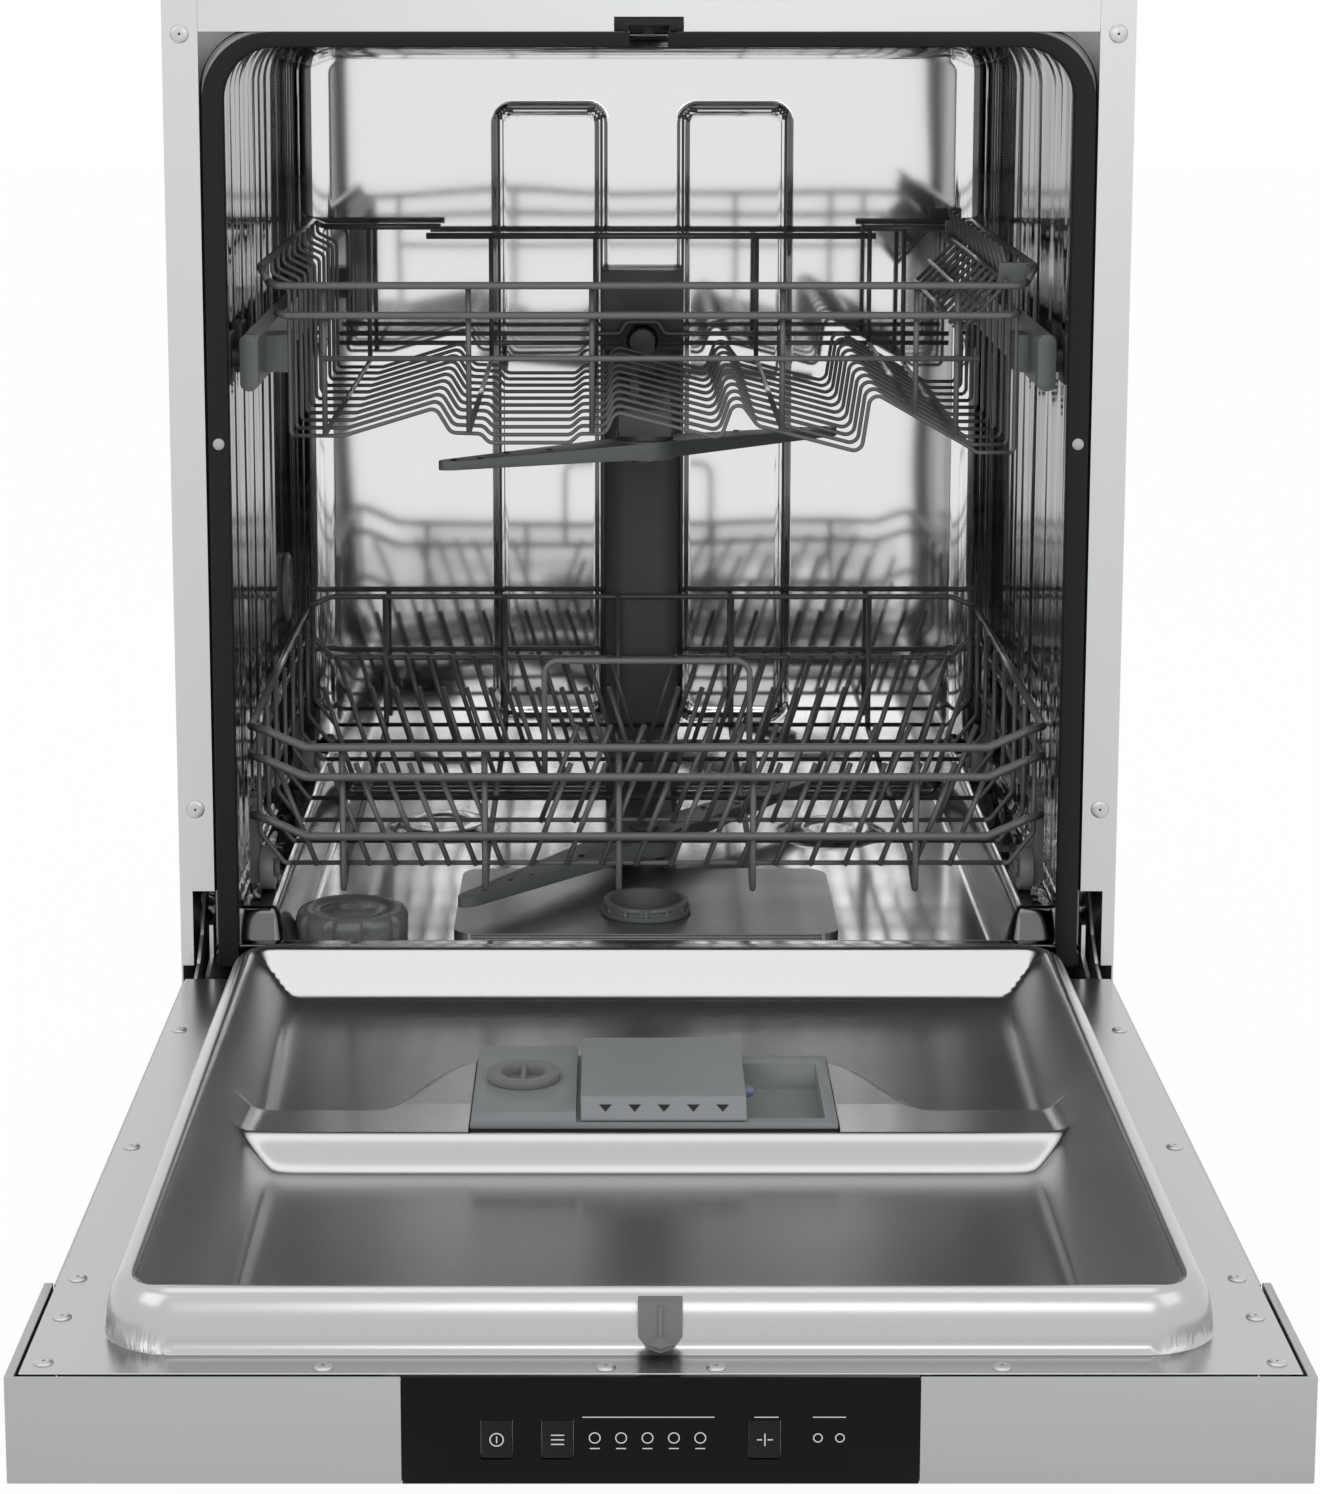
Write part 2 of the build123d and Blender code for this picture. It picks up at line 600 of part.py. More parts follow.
def insulation_mats():
    """Felt mats on the tub's sides and top."""
    wall = TUB_HALF + TUB_SHEET + SEAT_GAP
    roof = TUB_CEILING + TUB_SHEET + SEAT_GAP
    back = TUB_DEPTH - MAT_BACK
    half = TUB_HALF - MAT_ROOF_MARGIN
    side_z = (MAT_BOTTOM, TUB_CEILING - TUB_CORNER_R)
    side = block((wall, wall + MAT), (MAT_FRONT[0], back), side_z)
    top = block((-half, half), (MAT_FRONT[1], back), (roof, roof + MAT))
    return [*both_sides(side), top]


def base_tray():
    """The moulded base that catches leaks and holds the feet and the pumps."""
    back = CASING_DEPTH - HOSE_RECESS - 2
    front = TOE_DEPTH + 2
    inside = TRAY_HALF - TRAY_WALL
    floor = TRAY_BOTTOM + TRAY_WALL
    tray = block((-TRAY_HALF, TRAY_HALF), (front, back), (TRAY_BOTTOM, TOE_HEIGHT))
    tray -= block((-inside, inside), (front + TRAY_WALL, back - TRAY_WALL), (floor, TOE_HEIGHT))
    for x in (-FOOT_X, FOOT_X):
        for y in FOOT_Y:
            tray += rod((x, y, TRAY_BOTTOM), (x, y, FOOT_STUD_TOP + 6), FOOT_BOSS_R)
            hole = FOOT_STUD_R + RUNNING_FIT
            tray -= rod((x, y, TRAY_BOTTOM), (x, y, FOOT_STUD_TOP + 1), hole)
    anchor_front = SPRING_END[0] + SEAT_GAP
    anchor_y = (anchor_front, anchor_front + SPRING_ANCHOR)
    for side in (-1, 1):
        across = sorted((side * (ARM_PLATE_X[0] - 1), side * TRAY_HALF))
        tray += block(across, anchor_y, (TOE_HEIGHT - 4, SPRING_END[1] + SPRING_R))
    spigot_x = (SPIGOT_X - 12, SPIGOT_X + 12)
    tray -= block(spigot_x, (back - TRAY_WALL, back), (INLET_Z, TOE_HEIGHT))
    inlet = ((INLET_X - 27, INLET_X + 27), (back - TRAY_WALL, back), (INLET_Z - 32, TOE_HEIGHT))
    return tray - block(*inlet)


def foot(x, y):
    """One levelling foot: a round pad on a threaded stud."""
    return rod((x, y, 0), (x, y, FOOT_PAD), FOOT_PAD_R) + rod(
        (x, y, FOOT_PAD), (x, y, FOOT_STUD_TOP), FOOT_STUD_R
    )


def sump():
    """The bowl under the filter, with the pipe that feeds the circulation pump."""
    centre = sum(FILTER_Y) / 2
    under = FLOOR_Z - TUB_SHEET

    def bowl(shrink, floor_z):
        top = Pos(0, centre, under) * RectangleRounded(
            SUMP_TOP[0] - 12 - shrink, SUMP_TOP[1] - 12 - shrink, 14
        )
        low = Pos(0, centre, floor_z) * RectangleRounded(
            SUMP_BOTTOM[0] - shrink, SUMP_BOTTOM[1] - shrink, 14
        )
        return loft([low, top])

    flange = extrude(Pos(0, centre, under) * RectangleRounded(*SUMP_TOP, 16), -2)
    pipe_y = (centre + SUMP_BOTTOM[1] / 2 - 2, PUMP_FRONT)
    body = bowl(0, SUMP_FLOOR_Z) + flange
    body += rod((0, pipe_y[0], PUMP_Z + 4), (0, pipe_y[1], PUMP_Z + 4), PUMP_PIPE_R)
    body -= bowl(2 * SUMP_WALL, SUMP_FLOOR_Z + SUMP_WALL)
    bore = PUMP_PIPE_R - PUMP_WALL
    body -= rod((0, pipe_y[0] - 6, PUMP_Z + 4), (0, pipe_y[1], PUMP_Z + 4), bore)
    drain = DRAIN_PIPE_R + RUNNING_FIT
    near = SUMP_BOTTOM[0] / 2
    return body - rod((near - 8, centre, PUMP_Z), (DRAIN_X[0], centre, PUMP_Z), drain)


def wash_pump():
    """The circulation pump's housing with its outlet, and the motor behind it on its foot."""
    back = PUMP_FRONT + PUMP_VOLUTE
    housing = rod((0, PUMP_FRONT, PUMP_Z), (0, back, PUMP_Z), PUMP_VOLUTE_R)
    outlet = (0, PUMP_FRONT + PUMP_VOLUTE / 2)
    housing += rod((*outlet, PUMP_Z), (*outlet, FLOOR_Z), PUMP_OUTLET_R)
    cavity = (PUMP_FRONT + PUMP_WALL, back - 2 * PUMP_WALL)
    housing -= rod((0, cavity[0], PUMP_Z), (0, cavity[1], PUMP_Z), PUMP_VOLUTE_R - PUMP_WALL)
    housing -= rod((*outlet, PUMP_Z), (*outlet, FLOOR_Z), PUMP_OUTLET_R - PUMP_WALL)
    inlet_bore = PUMP_PIPE_R - PUMP_WALL
    housing -= rod((0, PUMP_FRONT, PUMP_Z + 4), (0, cavity[1], PUMP_Z + 4), inlet_bore)
    shaft_bore = SHAFT_R + RUNNING_FIT
    housing -= rod((0, cavity[1], PUMP_Z), (0, back, PUMP_Z), shaft_bore)
    motor = rod((0, back, PUMP_Z), (0, back + MOTOR_LENGTH, PUMP_Z), MOTOR_R)
    motor += block((-12, 12), (back + 30, back + 62), (TRAY_BOTTOM + TRAY_WALL, PUMP_Z - 20))
    motor -= rod((0, back, PUMP_Z), (0, back + 31, PUMP_Z), shaft_bore)
    return housing, motor


def wash_impeller():
    """The circulation pump's rotor: a disc with six vanes on a shaft."""
    back = PUMP_FRONT + PUMP_VOLUTE
    disc_y = back - 2 * PUMP_WALL - 5
    disc = rod((0, disc_y, PUMP_Z), (0, disc_y + 3, PUMP_Z), IMPELLER_R)
    disc += rod((0, disc_y - 14, PUMP_Z), (0, back + 30, PUMP_Z), SHAFT_R)
    vane = Pos(IMPELLER_R / 2, disc_y - 5, 0) * Box(IMPELLER_R - 4, 10.5, 2.5)
    for turn in range(6):
        disc += Pos(0, 0, PUMP_Z) * Rot(0, turn * 60, 0) * vane
    return disc


def drain_pump():
    """The drain pump on the sump's side and its pipe to the spigot at the back."""
    y = sum(FILTER_Y) / 2
    near, seam, end = DRAIN_X
    housing = rod((near, y, PUMP_Z), (seam, y, PUMP_Z), DRAIN_R)
    housing += rod((SUMP_BOTTOM[0] / 2 + 1, y, PUMP_Z), (near, y, PUMP_Z), DRAIN_PIPE_R)
    motor = rod((seam, y, PUMP_Z), (end, y, PUMP_Z), DRAIN_MOTOR_R)
    wall = CASING_DEPTH - HOSE_RECESS
    outside = wall + SHEET + SEAT_GAP
    spigot_mouth = wall + SPIGOT_LENGTH
    pipe = rod((SPIGOT_X, y + DRAIN_R - 1.5, PUMP_Z), (SPIGOT_X, outside, PUMP_Z), SPIGOT_R - 1)
    pipe += rod((SPIGOT_X, outside, PUMP_Z), (SPIGOT_X, spigot_mouth, PUMP_Z), SPIGOT_R)
    bore = rod((SPIGOT_X, wall - 6, PUMP_Z), (SPIGOT_X, spigot_mouth, PUMP_Z), SPIGOT_BORE_R)
    housing += pipe
    return housing - bore, motor


def softener_tank():
    """The salt and softener tank with the threaded neck that rises through the floor."""
    tank = block(TANK_X, TANK_Y, TANK_Z)
    wall = TANK_WALL
    inside = [(low + wall, high - wall) for low, high in (TANK_X, TANK_Y, TANK_Z)]
    neck = (SALT_X, SALT_Y)
    tank += rod((*neck, NECK_FLOOR), (*neck, SALT_NECK_TOP), SALT_NECK_R)
    tank -= block(*inside)
    tank -= rod((*neck, NECK_FLOOR + wall), (*neck, SALT_NECK_TOP), SALT_NECK_R - wall)
    feet = block((TANK_X[0], TANK_X[0] + 20), TANK_Y, (TRAY_BOTTOM + TRAY_WALL, TANK_Z[0]))
    feet += block((TANK_X[1] - 20, TANK_X[1]), TANK_Y, (TRAY_BOTTOM + TRAY_WALL, TANK_Z[0]))
    for y in FOOT_Y:
        feet -= rod((-FOOT_X, y, 0), (-FOOT_X, y, TANK_Z[0]), FOOT_BOSS_R + 1)
    return tank + feet


def inlet_valve():
    """The water valve in the back of the base, with its threaded inlet."""
    wall = CASING_DEPTH - HOSE_RECESS
    body = block((INLET_X - 25, INLET_X + 25), (wall - 42, wall), (INLET_Z - 30, INLET_Z + 20))
    body += block(
        (INLET_X - 25, INLET_X + 25), (wall - 42, wall - 30), (TRAY_BOTTOM + TRAY_WALL, INLET_Z)
    )
    mouth = wall + INLET_LENGTH + SHEET
    outside = wall + SHEET + SEAT_GAP
    body += rod((INLET_X, wall, INLET_Z), (INLET_X, outside, INLET_Z), INLET_R - 1)
    body += rod((INLET_X, outside, INLET_Z), (INLET_X, mouth, INLET_Z), INLET_R)
    return body - rod((INLET_X, wall - 10, INLET_Z), (INLET_X, mouth, INLET_Z), INLET_R - 4)


def feed_duct():
    """The grey duct: up the back wall to the docking box, and along the floor to the hub."""
    wall = TUB_DEPTH - TUB_SHEET
    duct = block((-DUCT_HALF, DUCT_HALF), (wall - DUCT_DEPTH, wall), (FLOOR_Z, DOCK_Z[1]))
    duct += block((-DOCK_HALF, DOCK_HALF), (DOCK_FRONT, wall), DOCK_Z)
    duct += block((-DUCT_FOOT_HALF, DUCT_FOOT_HALF), (ARM_Y, wall), (FLOOR_Z, DUCT_FOOT_TOP - 1))
    hub = (0, ARM_Y)
    seat = LOWER_ARM_Z[0] - 3 - SEAT_GAP
    duct += rod((*hub, FLOOR_Z), (*hub, seat), HUB_POST_R)
    duct -= rod((0, DOCK_FRONT, PORT_Z), (0, DOCK_FRONT + 20, PORT_Z), PORT_R)
    outlet = (0, PUMP_FRONT + PUMP_VOLUTE / 2)
    duct -= rod((*outlet, FLOOR_Z), (*outlet, FLOOR_Z + 8), PUMP_OUTLET_R - PUMP_WALL)
    pin = rod((*hub, seat), (*hub, LOWER_ARM_Z[1] + 1 + SEAT_GAP), ARM_PIN_R)
    cap_z = LOWER_ARM_Z[1] + 1 + SEAT_GAP
    return duct + pin + rod((*hub, cap_z), (*hub, cap_z + 3), ARM_PIN_R + 4)


def spray_arm(hub, z, reach, angle, hub_z):
    """A two-ended arm with round tips, turned about its hub."""
    tip = reach - ARM_TIP_R
    half = Polyline((0, -ARM_HUB_R + 4), (tip, -ARM_TIP_R), (tip, ARM_TIP_R), (0, ARM_HUB_R - 4))
    blade = make_face(half + Line((0, ARM_HUB_R - 4), (0, -ARM_HUB_R + 4)))
    blade += Pos(tip, 0) * Circle(ARM_TIP_R)
    blade += Rot(0, 0, 180) * blade
    arm = Pos(0, 0, z[0]) * extrude(blade, z[1] - z[0])
    arm += Pos(0, 0, hub_z[0]) * extrude(Circle(ARM_HUB_R), hub_z[1] - hub_z[0])
    arm -= Pos(0, 0, hub_z[0]) * extrude(Circle(ARM_PIN_R + RUNNING_FIT), hub_z[1] - hub_z[0])
    return Pos(*hub, 0) * Rot(0, 0, angle) * arm


def filter_plate():
    """The fine steel filter that covers the sump."""
    width = 2 * FILTER_HALF
    depth = FILTER_Y[1] - FILTER_Y[0]
    outline = RectangleRounded(width, depth, FILTER_CORNER_R)
    middle = Pos(0, sum(FILTER_Y) / 2, FLOOR_Z)
    plate_solid = middle * extrude(outline, FILTER_TOP - FLOOR_Z)
    hollow = RectangleRounded(width - 4, depth - 4, FILTER_CORNER_R - 2)
    plate_solid -= middle * extrude(hollow, FILTER_TOP - FLOOR_Z - TUB_SHEET)
    fit = CUP_R + SEAT_GAP
    return plate_solid - rod((0, CUP_Y, FLOOR_Z), (0, CUP_Y, FILTER_TOP), fit)


def filter_cylinder():
    """The coarse filter cup with the scalloped ring that turns and locks it."""
    axis = (0, CUP_Y)
    cup = rod((*axis, CUP_BOTTOM), (*axis, CUP_RING_TOP), CUP_R)
    ring_low = FILTER_TOP + SEAT_GAP
    cup += rod((*axis, ring_low), (*axis, ring_low + 3), CUP_RING_R + 2)
    cup += rod((*axis, ring_low), (*axis, CUP_RING_TOP), CUP_RING_R)
    bore = CUP_R - CUP_WALL
    cup -= rod((*axis, CUP_BOTTOM + CUP_WALL), (*axis, CUP_RING_TOP), bore)
    for turn in range(SCALLOPS):
        angle = math.radians(turn * 360 / SCALLOPS)
        x = (CUP_RING_R + 3) * math.cos(angle)
        y = CUP_Y + (CUP_RING_R + 3) * math.sin(angle)
        cup -= rod((x, y, ring_low + 3), (x, y, CUP_RING_TOP), 4.0)
    return cup


def salt_cap():
    """The scalloped screw cap of the salt tank."""
    axis = (SALT_X, SALT_Y)
    low = FLOOR_Z + 1
    cap = rod((*axis, low), (*axis, SALT_CAP_TOP), SALT_CAP_R)
    for turn in range(SCALLOPS):
        angle = math.radians(turn * 360 / SCALLOPS)
        x = SALT_X + (SALT_CAP_R + 3) * math.cos(angle)
        y = SALT_Y + (SALT_CAP_R + 3) * math.sin(angle)
        cap -= rod((x, y, low), (x, y, SALT_CAP_TOP), SCALLOP_R)
    socket = SALT_NECK_R + RUNNING_FIT
    return cap - rod((*axis, low), (*axis, SALT_NECK_TOP + SEAT_GAP), socket)


def upper_rails():
    """The two steel channels that carry the upper rack along the wall rollers."""
    sheet = TUB_SHEET
    half = RAIL_INSIDE / 2
    x0, x1 = RAIL_X
    rail = block((x0, x1), RAIL_Y, (RAIL_Z - half - sheet, RAIL_Z + half + sheet))
    rail -= block((x0 + sheet, x1), RAIL_Y, (RAIL_Z - half, RAIL_Z + half))
    return both_sides(rail)


def rack_hangers():
    """Grey plastic: rail end caps, the blocks that hang the rack, and the cup shelf clips."""
    width, depth, height = RAIL_CAP
    x_cap = (RAIL_X[0] - 0.3, RAIL_X[0] - 0.3 + width)
    cap = block(x_cap, (RAIL_Y[0] - depth, RAIL_Y[0]), (RAIL_Z - height / 2, RAIL_Z + height / 2))
    cap = fillet(cap.edges().filter_by(Axis.Y), width / 2 - 0.4)
    pieces = both_sides(cap)
    half_y, half_z = HANGER[0] / 2, HANGER[1] / 2
    for wire_x in UPPER_SIDE_X:
        side = 1 if wire_x > 0 else -1
        inner = abs(wire_x) + UPPER_WIRE_R + SEAT_GAP
        across = sorted((side * inner, side * RAIL_X[0]))
        for y in HANGER_Y:
            heights = (RAIL_Z - half_z, RAIL_Z + half_z)
            pieces.append(block(across, (y - half_y, y + half_y), heights))
    x, z = CUP_ROD
    for y in (CUP_FIRST_Y - 9, CUP_FIRST_Y + CUP_PITCH * CUP_WIRES - 20):
        clip_x = (x - 4, UPPER_RIM_X - UPPER_RAIL_R - 0.1)
        clip = block(clip_x, (y, y + 4), (z - 4, UPPER_RIM_Z + 2))
        pieces.append(clip - rod((x, y, z), (x, y + 4, z), CUP_ROD_R + RUNNING_FIT))
    return pieces


def wave_z(x):
    """Height of the upper rack's floor wires at a place across it."""
    for (x0, z0), (x1, z1) in zip(UPPER_WAVE, UPPER_WAVE[1:]):
        if x0 <= x <= x1:
            return z0 + (z1 - z0) * (x - x0) / (x1 - x0)
    return UPPER_WAVE[0][1]


def upper_rack_floor():
    """Eleven bent wires across the rack: two uprights and a wavy floor each."""
    solids = []
    left, right = UPPER_SIDE_X
    rim = UPPER_RIM_X - UPPER_RAIL_R - UPPER_WIRE_R
    for i in range(UPPER_WIRES):
        y = UPPER_FIRST_Y + i * UPPER_PITCH
        floor = [(x, y, z) for x, z in UPPER_WAVE]
        solids.append(bent_wire(floor, UPPER_WIRE_R, 6))
        for side_x, end in ((left, UPPER_WAVE[0]), (right, UPPER_WAVE[-1])):
            rim_x = math.copysign(rim, side_x)
            upright = [
                (end[0], y, end[1]), (side_x, y, end[1] + 3), (side_x, y, SIDE_BEND_Z),
                (rim_x, y, SIDE_BEND_Z + 7), (rim_x, y, UPPER_RIM_Z + 1),
            ]
            solids.append(bent_wire(upright, UPPER_WIRE_R, 4))
    return solids


def upper_rack_frame():
    """Rims, front rails, rear wires and the long wires that tie the floor together."""
    solids = []
    r, thin = UPPER_RAIL_R, UPPER_THIN_R
    y0, y1 = UPPER_RAIL_Y, UPPER_REAR_Y
    high, middle, low = UPPER_FRONT_Z
    rim_x, rim_z = UPPER_RIM_X, UPPER_RIM_Z
    corner = 14.0
    for z, reach in ((high, rim_x - 11), (middle, rim_x - 16)):
        right = [(reach, y0, z), (reach + 5, y0 + 5, z + 2)]
        left = [(-x, y, h) for x, y, h in reversed(right)]
        solids.append(bent_wire(left + right, r, 6))
    solids.append(rod((41 - rim_x, y0, low), (rim_x - 36, y0, low), thin))
    for side in (-1, 1):
        x = side * rim_x
        rim = [(x, y0 + corner, rim_z), (x, y1 - 12, rim_z), (x * 0.975, y1, rim_z - 4)]
        solids.append(bent_wire(rim, r, 8))
        tip = (side * (rim_x - 5.8), y0 + 5.4, high + 2.2)
        solids.append(rod(tip, (x, y0 + corner - 1, rim_z), r))
    end_x = rim_x - 7
    step_x = (UPPER_SPREAD * -152, UPPER_SPREAD * 165)
    solids.append(rod((-end_x, y1, rim_z - 5), (step_x[0], y1, rim_z - 5), r))
    solids.append(rod((step_x[0] - 11, y1, UPPER_REAR_Z), (step_x[1] + 11, y1, UPPER_REAR_Z), r))
    solids.append(rod((step_x[1], y1, rim_z - 6), (end_x, y1, rim_z - 6), r))
    high_z, low_z = UPPER_REAR_LOW_Z
    over = PORT_Z + DOCK_TUBE_R + thin + 2.5
    half = rim_x - 15
    loop = [(half, high_z), (17, high_z), (12, over), (-12, over), (-17, high_z), (-half, high_z)]
    solids.append(bent_wire([(x, y1, z) for x, z in loop], thin, 4))
    solids += both_sides(rod((14, y1, low_z), (half, y1, low_z), thin))
    post_y = y0 + r + thin
    rear_y = y1 - r - thin
    for x in UPPER_LONG_X:
        slope = (wave_z(x + 1) - wave_z(x - 1)) / 2
        z = wave_z(x) + (UPPER_WIRE_R + thin) * math.hypot(1, slope)
        top = UPPER_REAR_Z if step_x[0] - 11 < x < step_x[1] else rim_z - 7
        solids.append(rod((x, post_y, z), (x, post_y, high + 1), thin))
        solids.append(rod((x, post_y, z), (x, rear_y, z), thin).cut(
            rod((x, post_y, z - 4), (x, post_y, z + 4), thin),
            rod((x, rear_y, z - 4), (x, rear_y, z + 4), thin),
        ))
        solids.append(rod((x, rear_y, z), (x, rear_y, top), thin))
    return solids


def upper_feed_pipe():
    """The pipe under the upper rack, from the docking tube to the arm's pin."""
    end_y = UPPER_REAR_Y - 4
    pipe = block((-PIPE_HALF, PIPE_HALF), (UPPER_ARM_Y - 20, end_y), PIPE_Z)
    pipe += block((-9, 9), (end_y - 10, end_y), (PIPE_Z[0], PORT_Z))
    pipe += rod((0, end_y - 10, PORT_Z), (0, DOCK_FRONT + 9, PORT_Z), DOCK_TUBE_R)
    hub = (0, UPPER_ARM_Y)
    seat = UPPER_ARM_Z[1] + 1 + SEAT_GAP
    pipe += rod((*hub, seat), (*hub, PIPE_Z[0] + 1), HUB_POST_R + 6)
    low = UPPER_ARM_Z[0] - 1 - SEAT_GAP
    pipe += rod((*hub, low - 3), (*hub, seat), ARM_PIN_R)
    pipe += rod((*hub, low - 3), (*hub, low), ARM_PIN_R + 4)
    for i in (6, 9):
        y = UPPER_FIRST_Y + i * UPPER_PITCH
        top = wave_z(-4) - UPPER_WIRE_R - SEAT_GAP
        pipe += block((-10, -4), (y - 4, y + 4), (PIPE_Z[1] - 1, top))
    return pipe


def cup_shelf():
    """The folding shelf of zigzag wires on the rack's right side."""
    last = CUP_FIRST_Y + CUP_PITCH * (CUP_WIRES - 1)
    x, z = CUP_ROD
    solids = [rod((x, CUP_FIRST_Y - 14, z), (x, last + 14, z), CUP_ROD_R)]
    for i in range(CUP_WIRES):
        y = CUP_FIRST_Y + i * CUP_PITCH
        points = [(px, y, pz) for px, pz in (CUP_TOP, CUP_KNEE, CUP_END)]
        solids.append(bent_wire(points, CUP_WIRE_R, 5))
    slope = Vector(CUP_END[0] - CUP_KNEE[0], CUP_END[1] - CUP_KNEE[1]).normalized()
    gap = CUP_WIRE_R + CUP_ROD_R
    for share in CUP_RAIL_SHARE:
        px = CUP_KNEE[0] + share * (CUP_END[0] - CUP_KNEE[0]) + slope.Y * gap
        pz = CUP_KNEE[1] + share * (CUP_END[1] - CUP_KNEE[1]) - slope.X * gap
        solids.append(rod((px, CUP_FIRST_Y - 3, pz), (px, last + 3, pz), CUP_ROD_R))
    return solids


def rollers(x, y, z, radius, pin_r):
    """A left and right roller that turn about one line."""
    ring = tube((x[0], y, z), (x[1], y, z), radius, pin_r + RUNNING_FIT)
    return both_sides(ring)


def roller_brackets():
    """Wall brackets with the pins that the upper rail rollers turn on."""
    pieces = []
    sheet, half_y, half_z = ROLLER_PLATE
    for y in ROLLER_Y:
        wall = (TUB_HALF - sheet, TUB_HALF)
        plate_z = (RAIL_Z - half_z, RAIL_Z + half_z)
        root = (wall[0] + SHEET, y, RAIL_Z)
        bracket = block(wall, (y - half_y, y + half_y), plate_z)
        bracket += rod((ROLLER_X[0] - 0.4, y, RAIL_Z), root, ROLLER_PIN_R)
        bracket += rod((ROLLER_X[1] + SEAT_GAP, y, RAIL_Z), root, ROLLER_SHOULDER_R)
        pieces += both_sides(bracket)
    return pieces


def lower_rail(front_z, side_z, rear_y):
    """One front rail with its raised corners, and the two side rims that carry it back."""
    y0 = LOWER_RAIL_Y
    x0, x1 = CORNER_X
    bend, start = LOWER_SIDE_RUN
    right = [(x0, y0, front_z), (x1, y0, side_z - 1), (LOWER_SIDE_X, y0 + bend, side_z)]
    left = [(-x, y, z) for x, y, z in reversed(right)]
    solids = [bent_wire(left + right, LOWER_RAIL_R, 10)]
    for side in (-1, 1):
        x = side * LOWER_SIDE_X
        solids.append(rod((x, y0 + start, side_z), (x, rear_y, side_z), LOWER_RAIL_R))
    return solids


def lower_rack_frame():
    """Rails, side uprights, floor wires, rear wires and the handle of the lower rack."""
    solids = []
    rear = LOWER_REAR_Y
    bend, end = LOWER_REAR_RUN
    rear_x = LOWER_SPREAD * LOWER_REAR_X
    for front_z, side_z in zip(LOWER_FRONT_Z, LOWER_SIDE_Z):
        solids += lower_rail(front_z, side_z, rear - end)
    for z, side_z in zip(LOWER_REAR_Z, LOWER_SIDE_Z):
        right = [(rear_x, rear, z), (LOWER_SIDE_X, rear - bend, side_z)]
        left = [(-x, y, h) for x, y, h in reversed(right)]
        solids.append(bent_wire(left + right, LOWER_POST_R, 10))
    upright_x = LOWER_SIDE_X - LOWER_RAIL_R - LOWER_WIRE_R
    for y in sorted((*LOWER_CROSS_Y, *TINE_ROW_Y)):
        for side in (-1, 1):
            points = [
                (side * upright_x, y, LOWER_SIDE_Z[0] + 1), (side * upright_x, y, SIDE_BEND),
                (side * (FLOOR_HALF + 4), y, LOWER_FLOOR_Z), (side * FLOOR_HALF, y, LOWER_FLOOR_Z),
            ]
            solids.append(bent_wire(points, LOWER_WIRE_R, 8))
    for y in LOWER_CROSS_Y:
        floor = ((-FLOOR_HALF, y, LOWER_FLOOR_Z), (FLOOR_HALF, y, LOWER_FLOOR_Z))
        solids.append(rod(*floor, LOWER_WIRE_R))
    post_y = LOWER_RAIL_Y + LOWER_RAIL_R + LOWER_POST_R
    long_z = LOWER_FLOOR_Z - LOWER_WIRE_R - LOWER_POST_R
    rear_y = rear - LOWER_POST_R * 2
    rise_y, join_y = (post_y + run for run in FOOT_WIRE_RUN)
    for x in LOWER_LONG_X:
        front = [
            (x, post_y, LOWER_FRONT_Z[0] + 1), (x, post_y, FOOT_WIRE_Z), (x, rise_y, long_z),
            (x, join_y, long_z),
        ]
        solids.append(bent_wire(front, LOWER_POST_R, 5))
        back = [(x, join_y, long_z), (x, rear_y, long_z), (x, rear_y, LOWER_REAR_Z[0] + 1)]
        solids.append(bent_wire(back, LOWER_POST_R, 8))
    y = LOWER_RAIL_Y + LOWER_RAIL_R + HANDLE_WIRE_R
    right = [(HANDLE_X, y, HANDLE_TOP_Z), (HANDLE_X, y, LOWER_FRONT_Z[1])]
    left = [(-x, y, z) for x, y, z in reversed(right)]
    solids.append(bent_wire(left + right, HANDLE_WIRE_R, 9))
    return solids


def comb(y, tines):
    """A cross wire with its row of tines; each tine is its foot's x and the lean of its tip."""
    base = rod((-FLOOR_HALF, y, LOWER_FLOOR_Z), (FLOOR_HALF, y, LOWER_FLOOR_Z), LOWER_WIRE_R)
    tine_y = y - LOWER_WIRE_R - TINE_R
    pins = [
        rod((x, tine_y, LOWER_FLOOR_Z - 0.8), (x + lean, tine_y, TINE_TOP_Z), TINE_R)
        for x, lean in tines
    ]
    return [base, *pins]


def evenly(row, lean):
    """Tines from a first place, a pitch and a count, stretched with the rack's floor."""
    first, pitch, count = row
    return [(LOWER_SPREAD * (first + pitch * i), lean) for i in range(int(count))]


def lower_rack_tines():
    """Four rows of tines: an uneven front row, a half row, and two mirrored rows."""
    front_left = evenly(TINES_LEFT, -TINE_STEEP)
    del front_left[1]
    front_right = evenly(TINES_RIGHT, TINE_STEEP)
    half_row = evenly(TINES_HALF_ROW, TINE_STEEP)
    right = evenly(TINES_PAIR, TINE_LEAN)
    pair = [(sign * x, sign * lean) for x, lean in right for sign in (-1, 1)]
    rows = (front_left + front_right, half_row, pair, pair)
    return [solid for y, row in zip(TINE_ROW_Y, rows) for solid in comb(y, row)]


